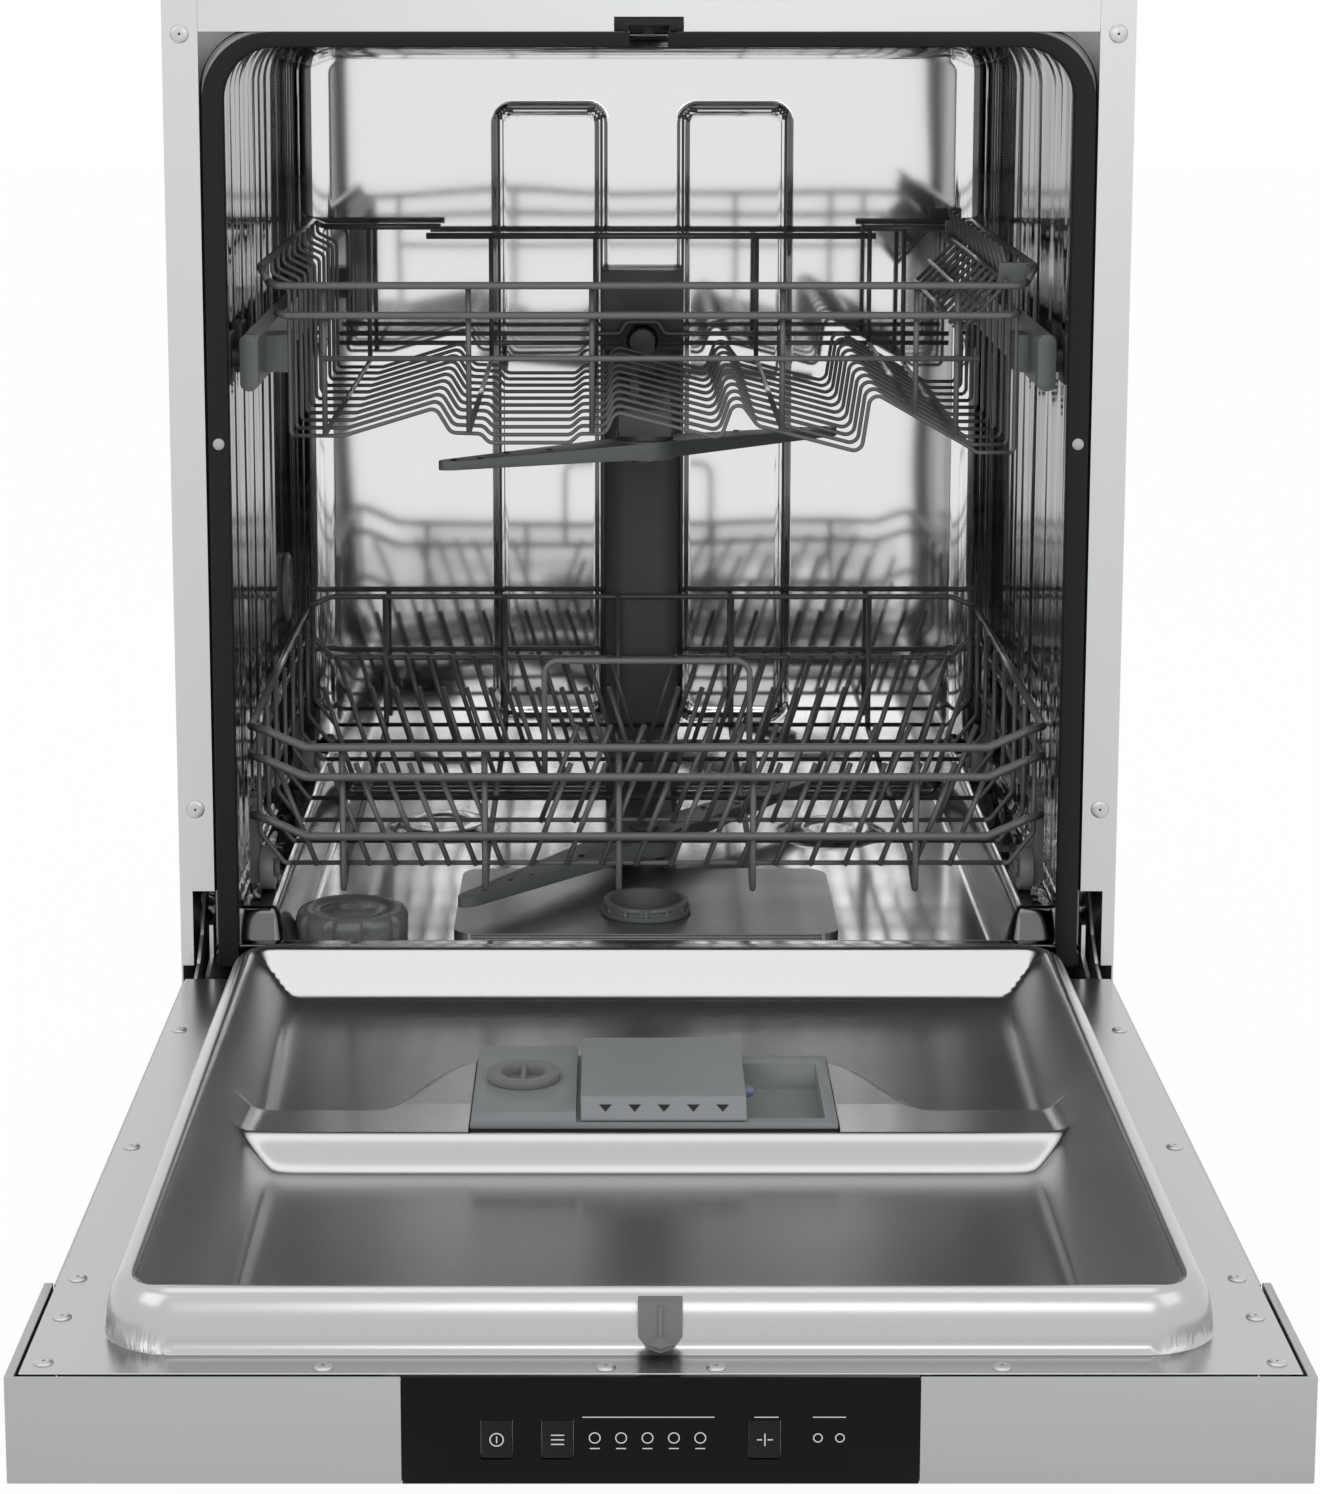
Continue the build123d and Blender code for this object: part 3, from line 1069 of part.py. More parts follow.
def wheel_carriers():
    """Grey clips on the rack's side rims, with the pins of the wheels."""
    pieces = []
    centre_z = LEDGE_Z + SEAT_GAP + WHEEL_R
    x0 = WHEEL_X[1] + SEAT_GAP
    thick, half, above = CARRIER
    wire_z = LOWER_SIDE_Z[2]
    for y in WHEEL_Y:
        carrier = block((x0, x0 + thick), (y - half, y + half), (centre_z - above, wire_z + above))
        near = (LOWER_SIDE_X, y - half, wire_z)
        carrier -= rod(near, (LOWER_SIDE_X, y + half, wire_z), LOWER_RAIL_R + 0.1)
        end = (WHEEL_X[0] - 2.5, y, centre_z)
        carrier += rod(end, (x0 + 1, y, centre_z), WHEEL_PIN_R)
        carrier += rod(end, (WHEEL_X[0] - SEAT_GAP, y, centre_z), WHEEL_PIN_R + 2)
        pieces += both_sides(carrier)
    return pieces


def basin(y, floor_z, extra):
    """The hollow of one door basin, its walls sloping out to the ridge."""
    top = RIDGE_TOP + 2
    spread = (top - floor_z) / math.tan(math.radians(BASIN_SLOPE))
    half = RIDGE_HALF - RIDGE_WIDTH - (RIDGE_TOP - floor_z)
    width = 2 * (half + extra)
    depth = y[1] - y[0] + 2 * extra
    centre = (y[0] + y[1]) / 2
    low = RectangleRounded(width, depth, BASIN_R[0])
    high = RectangleRounded(width + 2 * spread, depth + 2 * spread, BASIN_R[1])
    return loft([Pos(0, centre, floor_z - extra) * low, Pos(0, centre, top) * high])


def under_liner(sheet):
    """What lies under the liner's surface, or that many millimetres below it."""
    y0, y1 = RIDGE_Y
    half = DOOR_HALF - SHEET
    bottom = FLANGE_Z - DOOR_THICK + LINER_LIFT
    front_edge = INSERT + SHEET - DOOR_REACH
    body = block((-half, half), (front_edge, DOOR_REAR_Y), (bottom, FLANGE_Z - sheet))
    ridge = RectangleRounded(2 * (RIDGE_HALF - sheet), y1 - y0 - 2 * sheet, RIDGE_R - sheet)
    body += Pos(0, (y0 + y1) / 2, bottom) * extrude(ridge, RIDGE_TOP - sheet - bottom)
    front_y = y0 + RIDGE_FRONT_WIDTH + BASIN_MARGIN[0]
    front = (front_y, BAR_TOP_Y - (BAR_TOP_Z - BASIN_FRONT_Z))
    rear = (BAR_TOP_Y + BASIN_MARGIN[1], y1 - RIDGE_WIDTH - (RIDGE_TOP - BASIN_REAR_Z))
    body -= basin(front, BASIN_FRONT_Z, sheet)
    body -= basin(rear, BASIN_REAR_Z, sheet)
    low = BAR_TOP_Z - sheet
    bar = RIDGE_HALF - RIDGE_WIDTH - (RIDGE_TOP - BAR_TOP_Z)
    over_bar = block((-bar, bar), (front[1] + sheet, rear[0] - sheet), (low, RIDGE_TOP + 2))
    return body - over_bar


def door_liner():
    """The formed inner sheet of the door: flange, raised ridge and two basins."""
    liner = under_liner(0) - under_liner(SHEET)
    pocket_x = (DISP_X[0] + 1, DISP_X[1] - 1)
    pocket_y = (DISP_Y[0] + 1, DISP_Y[1] - 1)
    liner -= block(pocket_x, pocket_y, (BASIN_REAR_Z - 10, RIDGE_TOP))
    for x, y in flange_screw_places():
        liner -= rod((x, y, FLANGE_Z - 3), (x, y, FLANGE_Z + 1), SCREW_SHANK_R + 0.2)
    return max(liner.solids(), key=lambda solid: solid.volume)


def flange_screw_places():
    """Where the screws of the door's flange go."""
    near = [(x, NEAR_SCREW_Y) for x in NEAR_SCREW_X]
    side_x = DOOR_HALF - SIDE_SCREW_MARGIN
    return near + [(sign * side_x, y) for sign in (-1, 1) for y in SIDE_SCREW_Y]


def screws(places, z):
    """A group of pan-head screws, heads up."""
    return [
        rod((x, y, z), (x, y, z + SCREW_HEAD), DOOR_SCREW_R)
        + rod((x, y, z - SCREW_LENGTH), (x, y, z), SCREW_SHANK_R)
        for x, y in places
    ]


def door_skin():
    """The outer sheet of the door, a shallow tray with a tail that shields the base."""
    bottom = FLANGE_Z - DOOR_THICK
    end = -DOOR_REACH + FASCIA_LENGTH
    top = FLANGE_Z - SHEET - 0.2
    skin = block((-DOOR_HALF, DOOR_HALF), (end, DOOR_REAR_Y), (bottom, top))
    inside = DOOR_HALF - SHEET
    skin -= block((-inside, inside), (end, DOOR_REAR_Y), (bottom + SHEET, top))
    tail = (-SKIN_TAIL_HALF, SKIN_TAIL_HALF)
    skin += block(tail, (DOOR_REAR_Y, SKIN_TAIL_Y), (bottom, bottom + SHEET))
    skin += block(tail, (DOOR_REAR_Y, DOOR_REAR_Y + SHEET), (bottom, top))
    hole_x, hole_y, radius = SKIN_HOLES
    for x in (-hole_x, hole_x):
        for y in hole_y:
            skin -= rod((x, y, bottom), (x, y, bottom + SHEET), radius)
    return skin


def fascia():
    """The wider steel front at the top of the door, open in the middle for the insert."""
    half = WIDTH / 2
    bottom = FLANGE_Z - DOOR_THICK
    near = -DOOR_REACH
    y = (near, near + FASCIA_LENGTH)
    wall = FASCIA_WALL
    cheek = DOOR_HALF + SEAT_GAP
    window = INSERT_HALF + SEAT_GAP
    frame = INSERT_HALF + FASCIA_LAP
    seat = near + INSERT + 0.2
    shell = block((-half, half), y, (bottom, bottom + wall))
    shell += block((-frame, frame), (seat, seat + SHEET), (bottom, FLANGE_Z - 2))
    shell += both_sides(block((cheek, half), y, (bottom, FLANGE_Z)))
    shell += both_sides(block((window, half), (near, near + wall), (bottom, FLANGE_Z)))
    shell += both_sides(block((window, frame), (near, seat + SHEET), (bottom, FLANGE_Z - 2)))
    length, width, depth = GRIP
    grip_x = length / 2
    grip_y = (GRIP_Y - width / 2, GRIP_Y + width / 2)
    lining_y = (grip_y[0] - wall, grip_y[1] + wall)
    shell += block((-grip_x - wall, grip_x + wall), lining_y, (bottom, bottom + depth + wall))
    shell -= block((-grip_x, grip_x), grip_y, (bottom, bottom + depth))
    shell -= block((-window, window), (near, seat), (bottom, FLANGE_Z))
    wide, tall = BUTTON_PASSAGE
    for x in BUTTON_X:
        passage_z = (BUTTON_Z - tall, BUTTON_Z + tall)
        shell -= block((x - wide, x + wide), (near + INSERT, near + 6), passage_z)
    return shell


def control_insert():
    """The glossy black insert in the fascia, with a window for each button."""
    near = -DOOR_REACH
    y = (near, near + INSERT)
    insert = block((-INSERT_HALF, INSERT_HALF), y, (FLANGE_Z - DOOR_THICK, FLANGE_Z))
    wide, tall = (size / 2 + BUTTON_CLEARANCE for size in BUTTON)
    for x in BUTTON_X:
        insert -= block((x - wide, x + wide), y, (BUTTON_Z - tall, BUTTON_Z + tall))
    inset, thick, tall = BOARD
    half = INSERT_HALF - inset
    front = near + BOARD_BACK
    board = block((-half, half), (front, front + thick), (BUTTON_Z - tall, BUTTON_Z + tall))
    inset, above, radius = BOARD_POST
    x, z = INSERT_HALF - inset, BUTTON_Z + above
    board += both_sides(rod((x, near + INSERT + SHEET + 0.2, z), (x, front, z), radius))
    return insert, board


def button(x):
    """One flat push button and the stem behind it."""
    near = -DOOR_REACH
    wide, tall = BUTTON[0] / 2, BUTTON[1] / 2
    front = near + BUTTON_SUNK
    face_y = (front, near + INSERT - BUTTON_TRAVEL)
    face = block((x - wide, x + wide), face_y, (BUTTON_Z - tall, BUTTON_Z + tall))
    wide, tall = BUTTON_STEM
    stem_y = (front, near + BOARD_BACK - BUTTON_TRAVEL - 0.2)
    return face + block((x - wide, x + wide), stem_y, (BUTTON_Z - tall, BUTTON_Z + tall))


def dispenser_body():
    """The moulded dispenser with its rinse-aid block and the detergent chamber."""
    body = block(DISP_X, DISP_Y, (BAR_TOP_Z + SEAT_GAP, DISP_BASE_TOP))
    inner_x = (DISP_X[0] + 2, DISP_X[1] - 2)
    inner_y = (DISP_Y[0] + 2, DISP_Y[1] - 2)
    body += block(inner_x, inner_y, (CHAMBER_FLOOR - 2.5, DISP_BASE_TOP))
    body += block(RINSE_BLOCK_X, (DISP_Y[0] + 2, DISP_Y[1]), (DISP_BASE_TOP, RINSE_BLOCK_TOP))
    body -= block(CHAMBER_X, CHAMBER_Y, (CHAMBER_FLOOR, DISP_BASE_TOP))
    seat = ((RINSE_X, RINSE_Y, RINSE_BLOCK_TOP - 6), (RINSE_X, RINSE_Y, RINSE_BLOCK_TOP))
    return body - rod(*seat, RINSE_SOCKET_R)


def dispenser_lid():
    """The sliding lid with its sloped, slotted front."""
    x0, x1 = LID_X
    y0, y1 = LID_Y
    z1 = LID_TOP
    low = DISP_BASE_TOP + SEAT_GAP
    rise, run = LID_FRONT
    wall = LID_SHEET
    outside = [(y0, low), (y0, low + rise), (y0 + run, z1), (y1, z1), (y1, low)]
    inside = [
        (y0 + wall + 0.5, low), (y0 + run + 1.5, z1 - wall), (y1 - wall, z1 - wall),
        (y1 - wall, low),
    ]
    return plate(outside, (x0, x1)) - plate(inside, (x0 + wall, x1))


def rinse_cap():
    """The rinse-aid cap: a ring, a sunk middle and a bar to turn it by."""
    top = RINSE_BLOCK_TOP
    axis = (RINSE_X, RINSE_Y)
    cap = rod((*axis, top + SEAT_GAP), (*axis, top + 4), RINSE_R)
    cap += rod((*axis, top - 5), (*axis, top + 1), RINSE_SOCKET_R - RUNNING_FIT)
    cap -= rod((*axis, top - 2), (*axis, top + 4), RINSE_WELL_R)
    wide, reach = RINSE_BAR
    bar_x = (RINSE_X - wide, RINSE_X + wide)
    return cap + block(bar_x, (RINSE_Y - reach, RINSE_Y + reach), (top - 2.5, top + 3))


def hinge_brackets():
    """Fixed plates with the pivots of the door."""
    x = (PIVOT_X[0], PIVOT_X[0] + BRACKET_SHEET)
    bracket = plate(BRACKET_OUTLINE, x)
    foot_z = (TOE_HEIGHT, TOE_HEIGHT + BRACKET_SHEET)
    bracket += block((x[0], TRAY_HALF - 0.5), BRACKET_FOOT_Y, foot_z)
    bracket += rod((x[0], HINGE_Y, HINGE_Z), (PIVOT_X[1], HINGE_Y, HINGE_Z), PIVOT_R)
    return both_sides(bracket)


def hinge_arms():
    """Plates inside the door's sides, with the tails that the springs pull."""
    arm = plate(ARM_OUTLINE, ARM_PLATE_X)
    arm += block((ARM_PLATE_X[0], DOOR_HALF - SHEET), ARM_FOOT_Y, ARM_FOOT_Z)
    hole = PIVOT_R + RUNNING_FIT
    pivot = ((ARM_PLATE_X[0], HINGE_Y, HINGE_Z), (ARM_PLATE_X[1], HINGE_Y, HINGE_Z))
    return both_sides(arm - rod(*pivot, hole))


def door_springs():
    """The two balance springs, as plain closed solids of their outer size."""
    x = sum(ARM_PLATE_X) / 2
    start = Vector(x, TAIL_END[0], TAIL_END[1])
    end = Vector(x, *SPRING_END)
    along = (end - start).normalized()
    first, last = start + along * SPRING_HOOKS[0], end - along * SPRING_HOOKS[1]
    return both_sides(rod(tuple(first), tuple(last), SPRING_R))


def latch_catch():
    """The grey cam on the door's near wall, with the groove for the latch tongue."""
    y = (RIDGE_Y[0] - CATCH_PROUD, RIDGE_Y[0])
    catch = block((-CATCH_HALF, CATCH_HALF), y, CATCH_Z)
    return catch - block((-TONGUE_HALF - 1, TONGUE_HALF + 1), (y[0], y[0] + 4.5), CATCH_Z)


def latch_tongue():
    """The sprung tongue that drops into the catch when the door is shut."""
    low = HEIGHT - BAR_HEIGHT
    return block((-TONGUE_HALF, TONGUE_HALF), (10, 22), (low - 2, HEIGHT - 10))


def frame_screws():
    """Four pan-head screws in the strips beside the tub."""
    head = rod((0, -SCREW_HEAD, 0), (0, 0, 0), SCREW_HEAD_R)
    head += rod((0, 0, 0), (0, SCREW_LENGTH, 0), SCREW_SHANK_R)
    return [Pos(side * STRIP_SCREW_X, 0, z) * head for side in (-1, 1) for z in STRIP_SCREW_Z]


def plinth_panel():
    """The steel cover across the front of the base, set back for the toes."""
    y = (TOE_DEPTH + 2 - PLINTH_SHEET, TOE_DEPTH + 2)
    half = WIDTH / 2 - SHEET - 0.5
    low = block((-half, half), y, (TRAY_BOTTOM + PANEL_LIFT, TOE_HEIGHT))
    half = PIVOT_X[0] - 2
    return low + block((-half, half), y, (TOE_HEIGHT, PLINTH_TOP))


os.makedirs("parts", exist_ok=True)
panel = side_panel()
save("side_panel_right", panel)
save("side_panel_left", mirror(panel, about=Plane.YZ))
save("rear_panel", rear_panel())
save("front_crossbar", front_crossbar())
save("tub_wrapper", *tub_wrapper())
save("tub_back_wall", tub_back_wall())
save("tub_floor", tub_floor())
save("tub_gasket", tub_gasket())
save("insulation_mats", *insulation_mats())
save("base_tray", base_tray())
save("plinth_panel", plinth_panel())
save("frame_screws", *frame_screws())
save("latch_housing", latch_housing())
save("latch_tongue", latch_tongue())
save("hinge_brackets", *hinge_brackets())
for side_name, side_x in (("left", -FOOT_X), ("right", FOOT_X)):
    for end_name, end_y in zip(("front", "rear"), FOOT_Y):
        save(f"foot_{end_name}_{side_name}", foot(side_x, end_y))
save("sump", sump())
save("wash_pump", *wash_pump())
save("wash_impeller", wash_impeller())
save("drain_pump", *drain_pump())
save("softener_tank", softener_tank())
save("inlet_valve", inlet_valve())
save("feed_duct", feed_duct())
save("filter_plate", filter_plate())
save("filter_cylinder", filter_cylinder())
save("salt_cap", salt_cap())
lower_hub_z = (LOWER_ARM_Z[0] - 3, LOWER_ARM_Z[1] + 1)
lower_arm = (LOWER_ARM_Z, LOWER_ARM_REACH, LOWER_ARM_ANGLE, lower_hub_z)
save("lower_spray_arm", spray_arm((0, ARM_Y), *lower_arm))
upper_hub_z = (UPPER_ARM_Z[0] - 1, UPPER_ARM_Z[1] + 1)
upper_arm = (UPPER_ARM_Z, UPPER_ARM_REACH, UPPER_ARM_ANGLE, upper_hub_z)
save("upper_spray_arm", spray_arm((0, UPPER_ARM_Y), *upper_arm))
save("upper_feed_pipe", upper_feed_pipe())
save("upper_rails", *upper_rails())
save("rack_hangers", *rack_hangers())
save("roller_brackets", *roller_brackets())
for end_name, roller_y in zip(("front", "rear"), ROLLER_Y):
    pair = rollers(ROLLER_X, roller_y, RAIL_Z, ROLLER_R, ROLLER_PIN_R)
    save(f"wall_rollers_{end_name}", *pair)
save("upper_rack_frame", *upper_rack_frame())
save("upper_rack_floor", *upper_rack_floor())
save("cup_shelf", *cup_shelf())
save("lower_rack_frame", *lower_rack_frame())
save("lower_rack_tines", *lower_rack_tines())
save("wheel_carriers", *wheel_carriers())
wheel_z = LEDGE_Z + SEAT_GAP + WHEEL_R
for end_name, wheel_y in zip(("front", "rear"), WHEEL_Y):
    pair = rollers(WHEEL_X, wheel_y, wheel_z, WHEEL_R, WHEEL_PIN_R)
    save(f"lower_wheels_{end_name}", *pair)
save("door_liner", door_liner())
save("door_skin", door_skin())
save("fascia", fascia())
save("control_insert", *control_insert())
for button_name, button_x in zip(("power", "programme", "half_load"), BUTTON_X):
    save(f"button_{button_name}", button(button_x))
save("dispenser_body", dispenser_body())
save("dispenser_lid", dispenser_lid())
save("rinse_cap", rinse_cap())
save("hinge_arms", *hinge_arms())
save("door_springs", *door_springs())
save("latch_catch", latch_catch())
save("door_screws", *screws(flange_screw_places(), FLANGE_Z))
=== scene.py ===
# %% [markdown]
# The machine is a full-size built-in dishwasher with its door folded open. The solids come from the
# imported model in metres, so every piece made here is placed by the same measures. Machine
# measures are written in millimetres, with y counted from the casing's front plane, because that
# is how the object is measured; one function turns them into the frame's metres.

# %% Load the frame and set the measures
import json
import math

import bmesh
import bpy
import numpy as np
from mathutils import Matrix, Vector


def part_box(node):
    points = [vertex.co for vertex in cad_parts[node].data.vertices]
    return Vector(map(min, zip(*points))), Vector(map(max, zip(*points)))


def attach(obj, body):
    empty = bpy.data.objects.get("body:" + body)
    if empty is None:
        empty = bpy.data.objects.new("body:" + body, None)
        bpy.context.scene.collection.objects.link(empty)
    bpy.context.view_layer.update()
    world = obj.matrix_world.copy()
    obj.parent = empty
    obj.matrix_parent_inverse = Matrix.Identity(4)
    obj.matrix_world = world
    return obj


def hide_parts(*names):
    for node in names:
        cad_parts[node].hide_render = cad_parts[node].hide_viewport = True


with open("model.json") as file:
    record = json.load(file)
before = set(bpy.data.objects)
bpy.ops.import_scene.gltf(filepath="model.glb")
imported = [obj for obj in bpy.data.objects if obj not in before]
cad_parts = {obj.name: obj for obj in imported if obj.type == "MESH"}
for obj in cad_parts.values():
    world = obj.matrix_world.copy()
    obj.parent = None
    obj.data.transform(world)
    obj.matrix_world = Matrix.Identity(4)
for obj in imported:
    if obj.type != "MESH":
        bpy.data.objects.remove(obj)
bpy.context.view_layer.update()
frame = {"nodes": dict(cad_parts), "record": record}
nodes = frame["nodes"]
MM = 0.001
front_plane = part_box("side_panel_left")[0].y / MM
print("casing front plane at", round(front_plane, 2), "mm")


def at(x, y, z):
    """A place in machine millimetres as a vector in the frame's metres."""
    return Vector((x, y + front_plane, z)) * MM


# %% [markdown]
# A studio photographer keeps the back of the camera upright and raises the lens, so that upright
# edges stay upright. Other views keep the camera's shift, so the shift here is kept small
# and the camera is tipped a little instead.

# %% Camera
IMAGE_LONG_SIDE = 1494
CAMERA_PLACE = (-20.9, -2051.7, 837.3)
CAMERA_PITCH = 9.27
CAMERA_FOCAL_PX = 3324.5
CAMERA_SHIFT = (0.0303, -0.16)
SENSOR_MM = 36.0

camera_data = bpy.data.cameras.new("camera")
camera_data.sensor_width = SENSOR_MM
camera_data.lens = CAMERA_FOCAL_PX / IMAGE_LONG_SIDE * SENSOR_MM
camera_data.shift_x, camera_data.shift_y = CAMERA_SHIFT
camera = bpy.data.objects.new("camera", camera_data)
bpy.context.scene.collection.objects.link(camera)
camera.location = at(*CAMERA_PLACE)
camera.rotation_euler = (math.radians(90 - CAMERA_PITCH), 0, 0)
bpy.context.scene.camera = camera
print("lens", round(camera_data.lens, 1), "mm")

# %% [markdown]
# Materials are sums and products of a few patterns. A small class wraps a socket so that shader
# maths reads as ordinary arithmetic, and one method makes every other node.

# %% Shader arithmetic


class Wire:
    """A shader socket that can be added, subtracted and multiplied."""

    def __init__(self, owner, socket):
        self.owner = owner
        self.socket = socket

    def _math(self, operation, first, second):
        return self.owner.node("ShaderNodeMath", {"operation": operation}, {0: first, 1: second})

    def __add__(self, other):
        return self._math("ADD", self, other)

    __radd__ = __add__

    def __sub__(self, other):
        return self._math("SUBTRACT", self, other)

    def __rsub__(self, other):
        return self._math("SUBTRACT", other, self)

    def __mul__(self, other):
        return self._math("MULTIPLY", self, other)

    __rmul__ = __mul__


class Nodes:
    """A tree of nodes, and the one method that adds to it."""

    def __init__(self, tree):
        self.tree = tree

    def node(self, kind, settings, inputs, output=0):
        """Any node: its settings first, then the values or links of its sockets."""
        made = self.tree.nodes.new(kind)
        for key, value in settings.items():
            setattr(made, key, value)
        for key, value in inputs.items():
            if isinstance(value, Wire):
                self.tree.links.new(value.socket, made.inputs[key])
            else:
                made.inputs[key].default_value = value
        return Wire(self, made.outputs[output]) if made.outputs else None

    def seen_rays(self):
        """Three masks: the rays of the camera, of mirrors and of clear things."""
        return [
            self.node("ShaderNodeLightPath", {}, {}, f"Is {kind} Ray")
            for kind in ("Camera", "Glossy", "Transmission")
        ]


class Finish(Nodes):
    """A material being made: its principled shader and the nodes that feed it."""

    def __init__(self, name, **sockets):
        self.material = bpy.data.materials.new(name)
        self.material.use_nodes = True
        super().__init__(self.material.node_tree)
        self.shader = self.tree.nodes["Principled BSDF"]
        for label, value in sockets.items():
            self.set(label.replace("_", " ").title().replace("Ior", "IOR"), value)

    def set(self, label, value):
        """Give one of the shader's sockets a value or a link."""
        if isinstance(value, Wire):
            self.tree.links.new(value.socket, self.shader.inputs[label])
        elif isinstance(value, tuple) and len(value) == 3:
            self.shader.inputs[label].default_value = (*value, 1)
        else:
            self.shader.inputs[label].default_value = value

    def place(self, stretch=(1, 1, 1)):
        """Object coordinates in metres, stretched."""
        here = self.node("ShaderNodeTexCoord", {}, {}, "Object")
        return self.node("ShaderNodeMapping", {}, {"Vector": here, "Scale": stretch})

    def noise(self, scale, stretch=(1, 1, 1), detail=2.0):
        """Even noise between 0 and 1."""
        return self.node(
            "ShaderNodeTexNoise",
            {},
            {"Vector": self.place(stretch), "Scale": scale, "Detail": detail},
        )

    def bump(self, height, distance):
        """Relief of so many metres from a height between 0 and 1."""
        sockets = {"Height": height, "Distance": distance, "Strength": 1.0}
        self.set("Normal", self.node("ShaderNodeBump", {}, sockets))

    def mix(self, factor, first, second):
        """A colour that goes from the first to the second as a mask rises."""
        sockets = {"Factor": factor, 6: (*first, 1), 7: (*second, 1)}
        return self.node("ShaderNodeMix", {"data_type": "RGBA"}, sockets, 2)


# %% [markdown]
# The machine has few kinds of surface: brushed sheet, thin sheet that bends what it mirrors,
# moulded plastic, felt and fine mesh. Each could be a photograph of the surface, but a pattern
# worked out from noise has no seams and stays sharp close up.

# %% Kinds of finish
EVEN, ALONG_X, ALONG_Z = (1, 1, 1), (0.02, 1, 1), (1, 1, 0.02)


def steel(name, colour, roughness, grain, stretch, spread=0.25):
    """Stainless sheet whose fine grain changes its gloss along one direction."""
    made = Finish(name, base_color=colour, metallic=1.0)
    fine = made.noise(grain, stretch, 3.0)
    made.set("Roughness", roughness * (1 - spread / 2) + fine * (roughness * spread))
    return made


def wavy(made, scale, stretch, height):
    """Thin sheet is never flat: slow waves bend what it mirrors."""
    made.bump(made.noise(scale, stretch, 1.0), height)
    return made.material


def plastic(name, colour, roughness, texture=0.00004, gloss=0.5):
    """Moulded plastic with a fine spark-eroded texture and faint colour variation."""
    made = Finish(name, specular_ior_level=gloss)
    grain = made.noise(900.0)
    cloud = made.noise(14.0)
    made.set("Base Color", made.mix(cloud, colour, tuple(min(1, c * 1.12) for c in colour)))
    made.set("Roughness", roughness - 0.05 + grain * 0.1)
    made.bump(grain, texture)
    return made.material


def felt(name, colour):
    """Pressed felt: tangled fibres with no shine."""
    made = Finish(name, base_color=colour, roughness=0.95)
    made.bump(made.noise(420.0, EVEN, 5.0), 0.0012)
    return made.material


def sieve(name):
    """Fine etched steel mesh: rows of tiny holes, painted dark as painted shade."""
    made = Finish(name, metallic=1.0, roughness=0.34)
    dots = made.node(
        "ShaderNodeTexVoronoi",
        {"feature": "F1", "distance": "CHEBYCHEV"},
        {"Vector": made.place(), "Scale": 520.0, "Randomness": 0.0},
    )
    hole = made.node(
        "ShaderNodeMapRange", {}, {"Value": dots, "From Min": 0.34, "From Max": 0.28}
    )
    # The holes are painted near black: painted shade standing in for the dark seen through them.
    made.set("Base Color", made.mix(hole, (0.40, 0.405, 0.41), (0.03, 0.03, 0.033)))
    made.bump(1 - hole, 0.0002)
    return made.material


# %% [markdown]
# Every colour is a guess from the photograph, worked back from how bright the surface
# renders. The tub's sides and floor are the same sheet as its back on the real machine. They
# mirror more of the white room here, so they are written darker: painted shade and painted
# reflection that stand in for the darker room the real sheet mirrors.

# %% Finishes of this machine
back_steel = wavy(
    steel("back_steel", (0.76, 0.765, 0.77), 0.07, 90.0, ALONG_Z), 4.0, EVEN, 0.003
)
# The sides and ceiling: the back's steel written dark, as painted shade and painted reflection.
shaded_wall_steel = wavy(
    steel("shaded_wall_steel", (0.15, 0.15, 0.152), 0.09, 90.0, ALONG_Z), 26.0, (1, 1, 0.06), 0.003
)
# The floor: the back's steel written darker, as painted shade and painted reflection.
shaded_floor_steel = wavy(
    steel("shaded_floor_steel", (0.56, 0.565, 0.57), 0.14, 90.0, EVEN), 6.0, EVEN, 0.0010
)
# Near-black steel for the back's grooves: painted shade.
groove_painted_shade = steel("groove_painted_shade", (0.05, 0.05, 0.052), 0.3, 90.0, EVEN).material
liner_steel = steel("liner_steel", (0.50, 0.505, 0.51), 0.23, 60.0, ALONG_X, 0.05).material
# The fascia is darker than the strips: a painted reflection of the darker floor that the real
# fascia mirrors.
shaded_fascia_steel = steel("shaded_fascia_steel", (0.43, 0.44, 0.445), 0.36, 500.0, ALONG_X).material
strip_steel = steel("strip_steel", (0.60, 0.61, 0.615), 0.38, 500.0, ALONG_Z).material
bar_steel = steel("bar_steel", (0.60, 0.61, 0.615), 0.36, 500.0, ALONG_X).material
zinc = steel("zinc", (0.55, 0.55, 0.54), 0.32, 300.0, EVEN).material
casing = steel("casing", (0.48, 0.49, 0.50), 0.42, 60.0, (1, 1, 0.2)).material
wire_coat = plastic("wire_coat", (0.135, 0.14, 0.145), 0.22, 0.00001)
arm_plastic = plastic("arm_plastic", (0.15, 0.162, 0.168), 0.42)
dark_plastic = plastic("dark_plastic", (0.13, 0.14, 0.145), 0.42)
duct_plastic = plastic("duct_plastic", (0.085, 0.083, 0.082), 0.45)
grey_plastic = plastic("grey_plastic", (0.25, 0.263, 0.27), 0.42)
cap_plastic = plastic("cap_plastic", (0.17, 0.18, 0.185), 0.28)
clip_plastic = plastic("clip_plastic", (0.19, 0.195, 0.20), 0.45)
pale_plastic = plastic("pale_plastic", (0.50, 0.51, 0.52), 0.45)
black_plastic = plastic("black_plastic", (0.010, 0.010, 0.011), 0.42, 0.00004, 0.25)
insert_gloss = plastic("insert_gloss", (0.0025, 0.0025, 0.003), 0.14, 0.0, 0.12)
button_gloss = plastic("button_gloss", (0.0045, 0.0045, 0.005), 0.24, 0.0, 0.2)
rubber = plastic("rubber", (0.008, 0.008, 0.008), 0.62, 0.00006, 0.25)
mat_felt = felt("mat_felt", (0.06, 0.055, 0.05))
mesh_steel = sieve("mesh_steel")
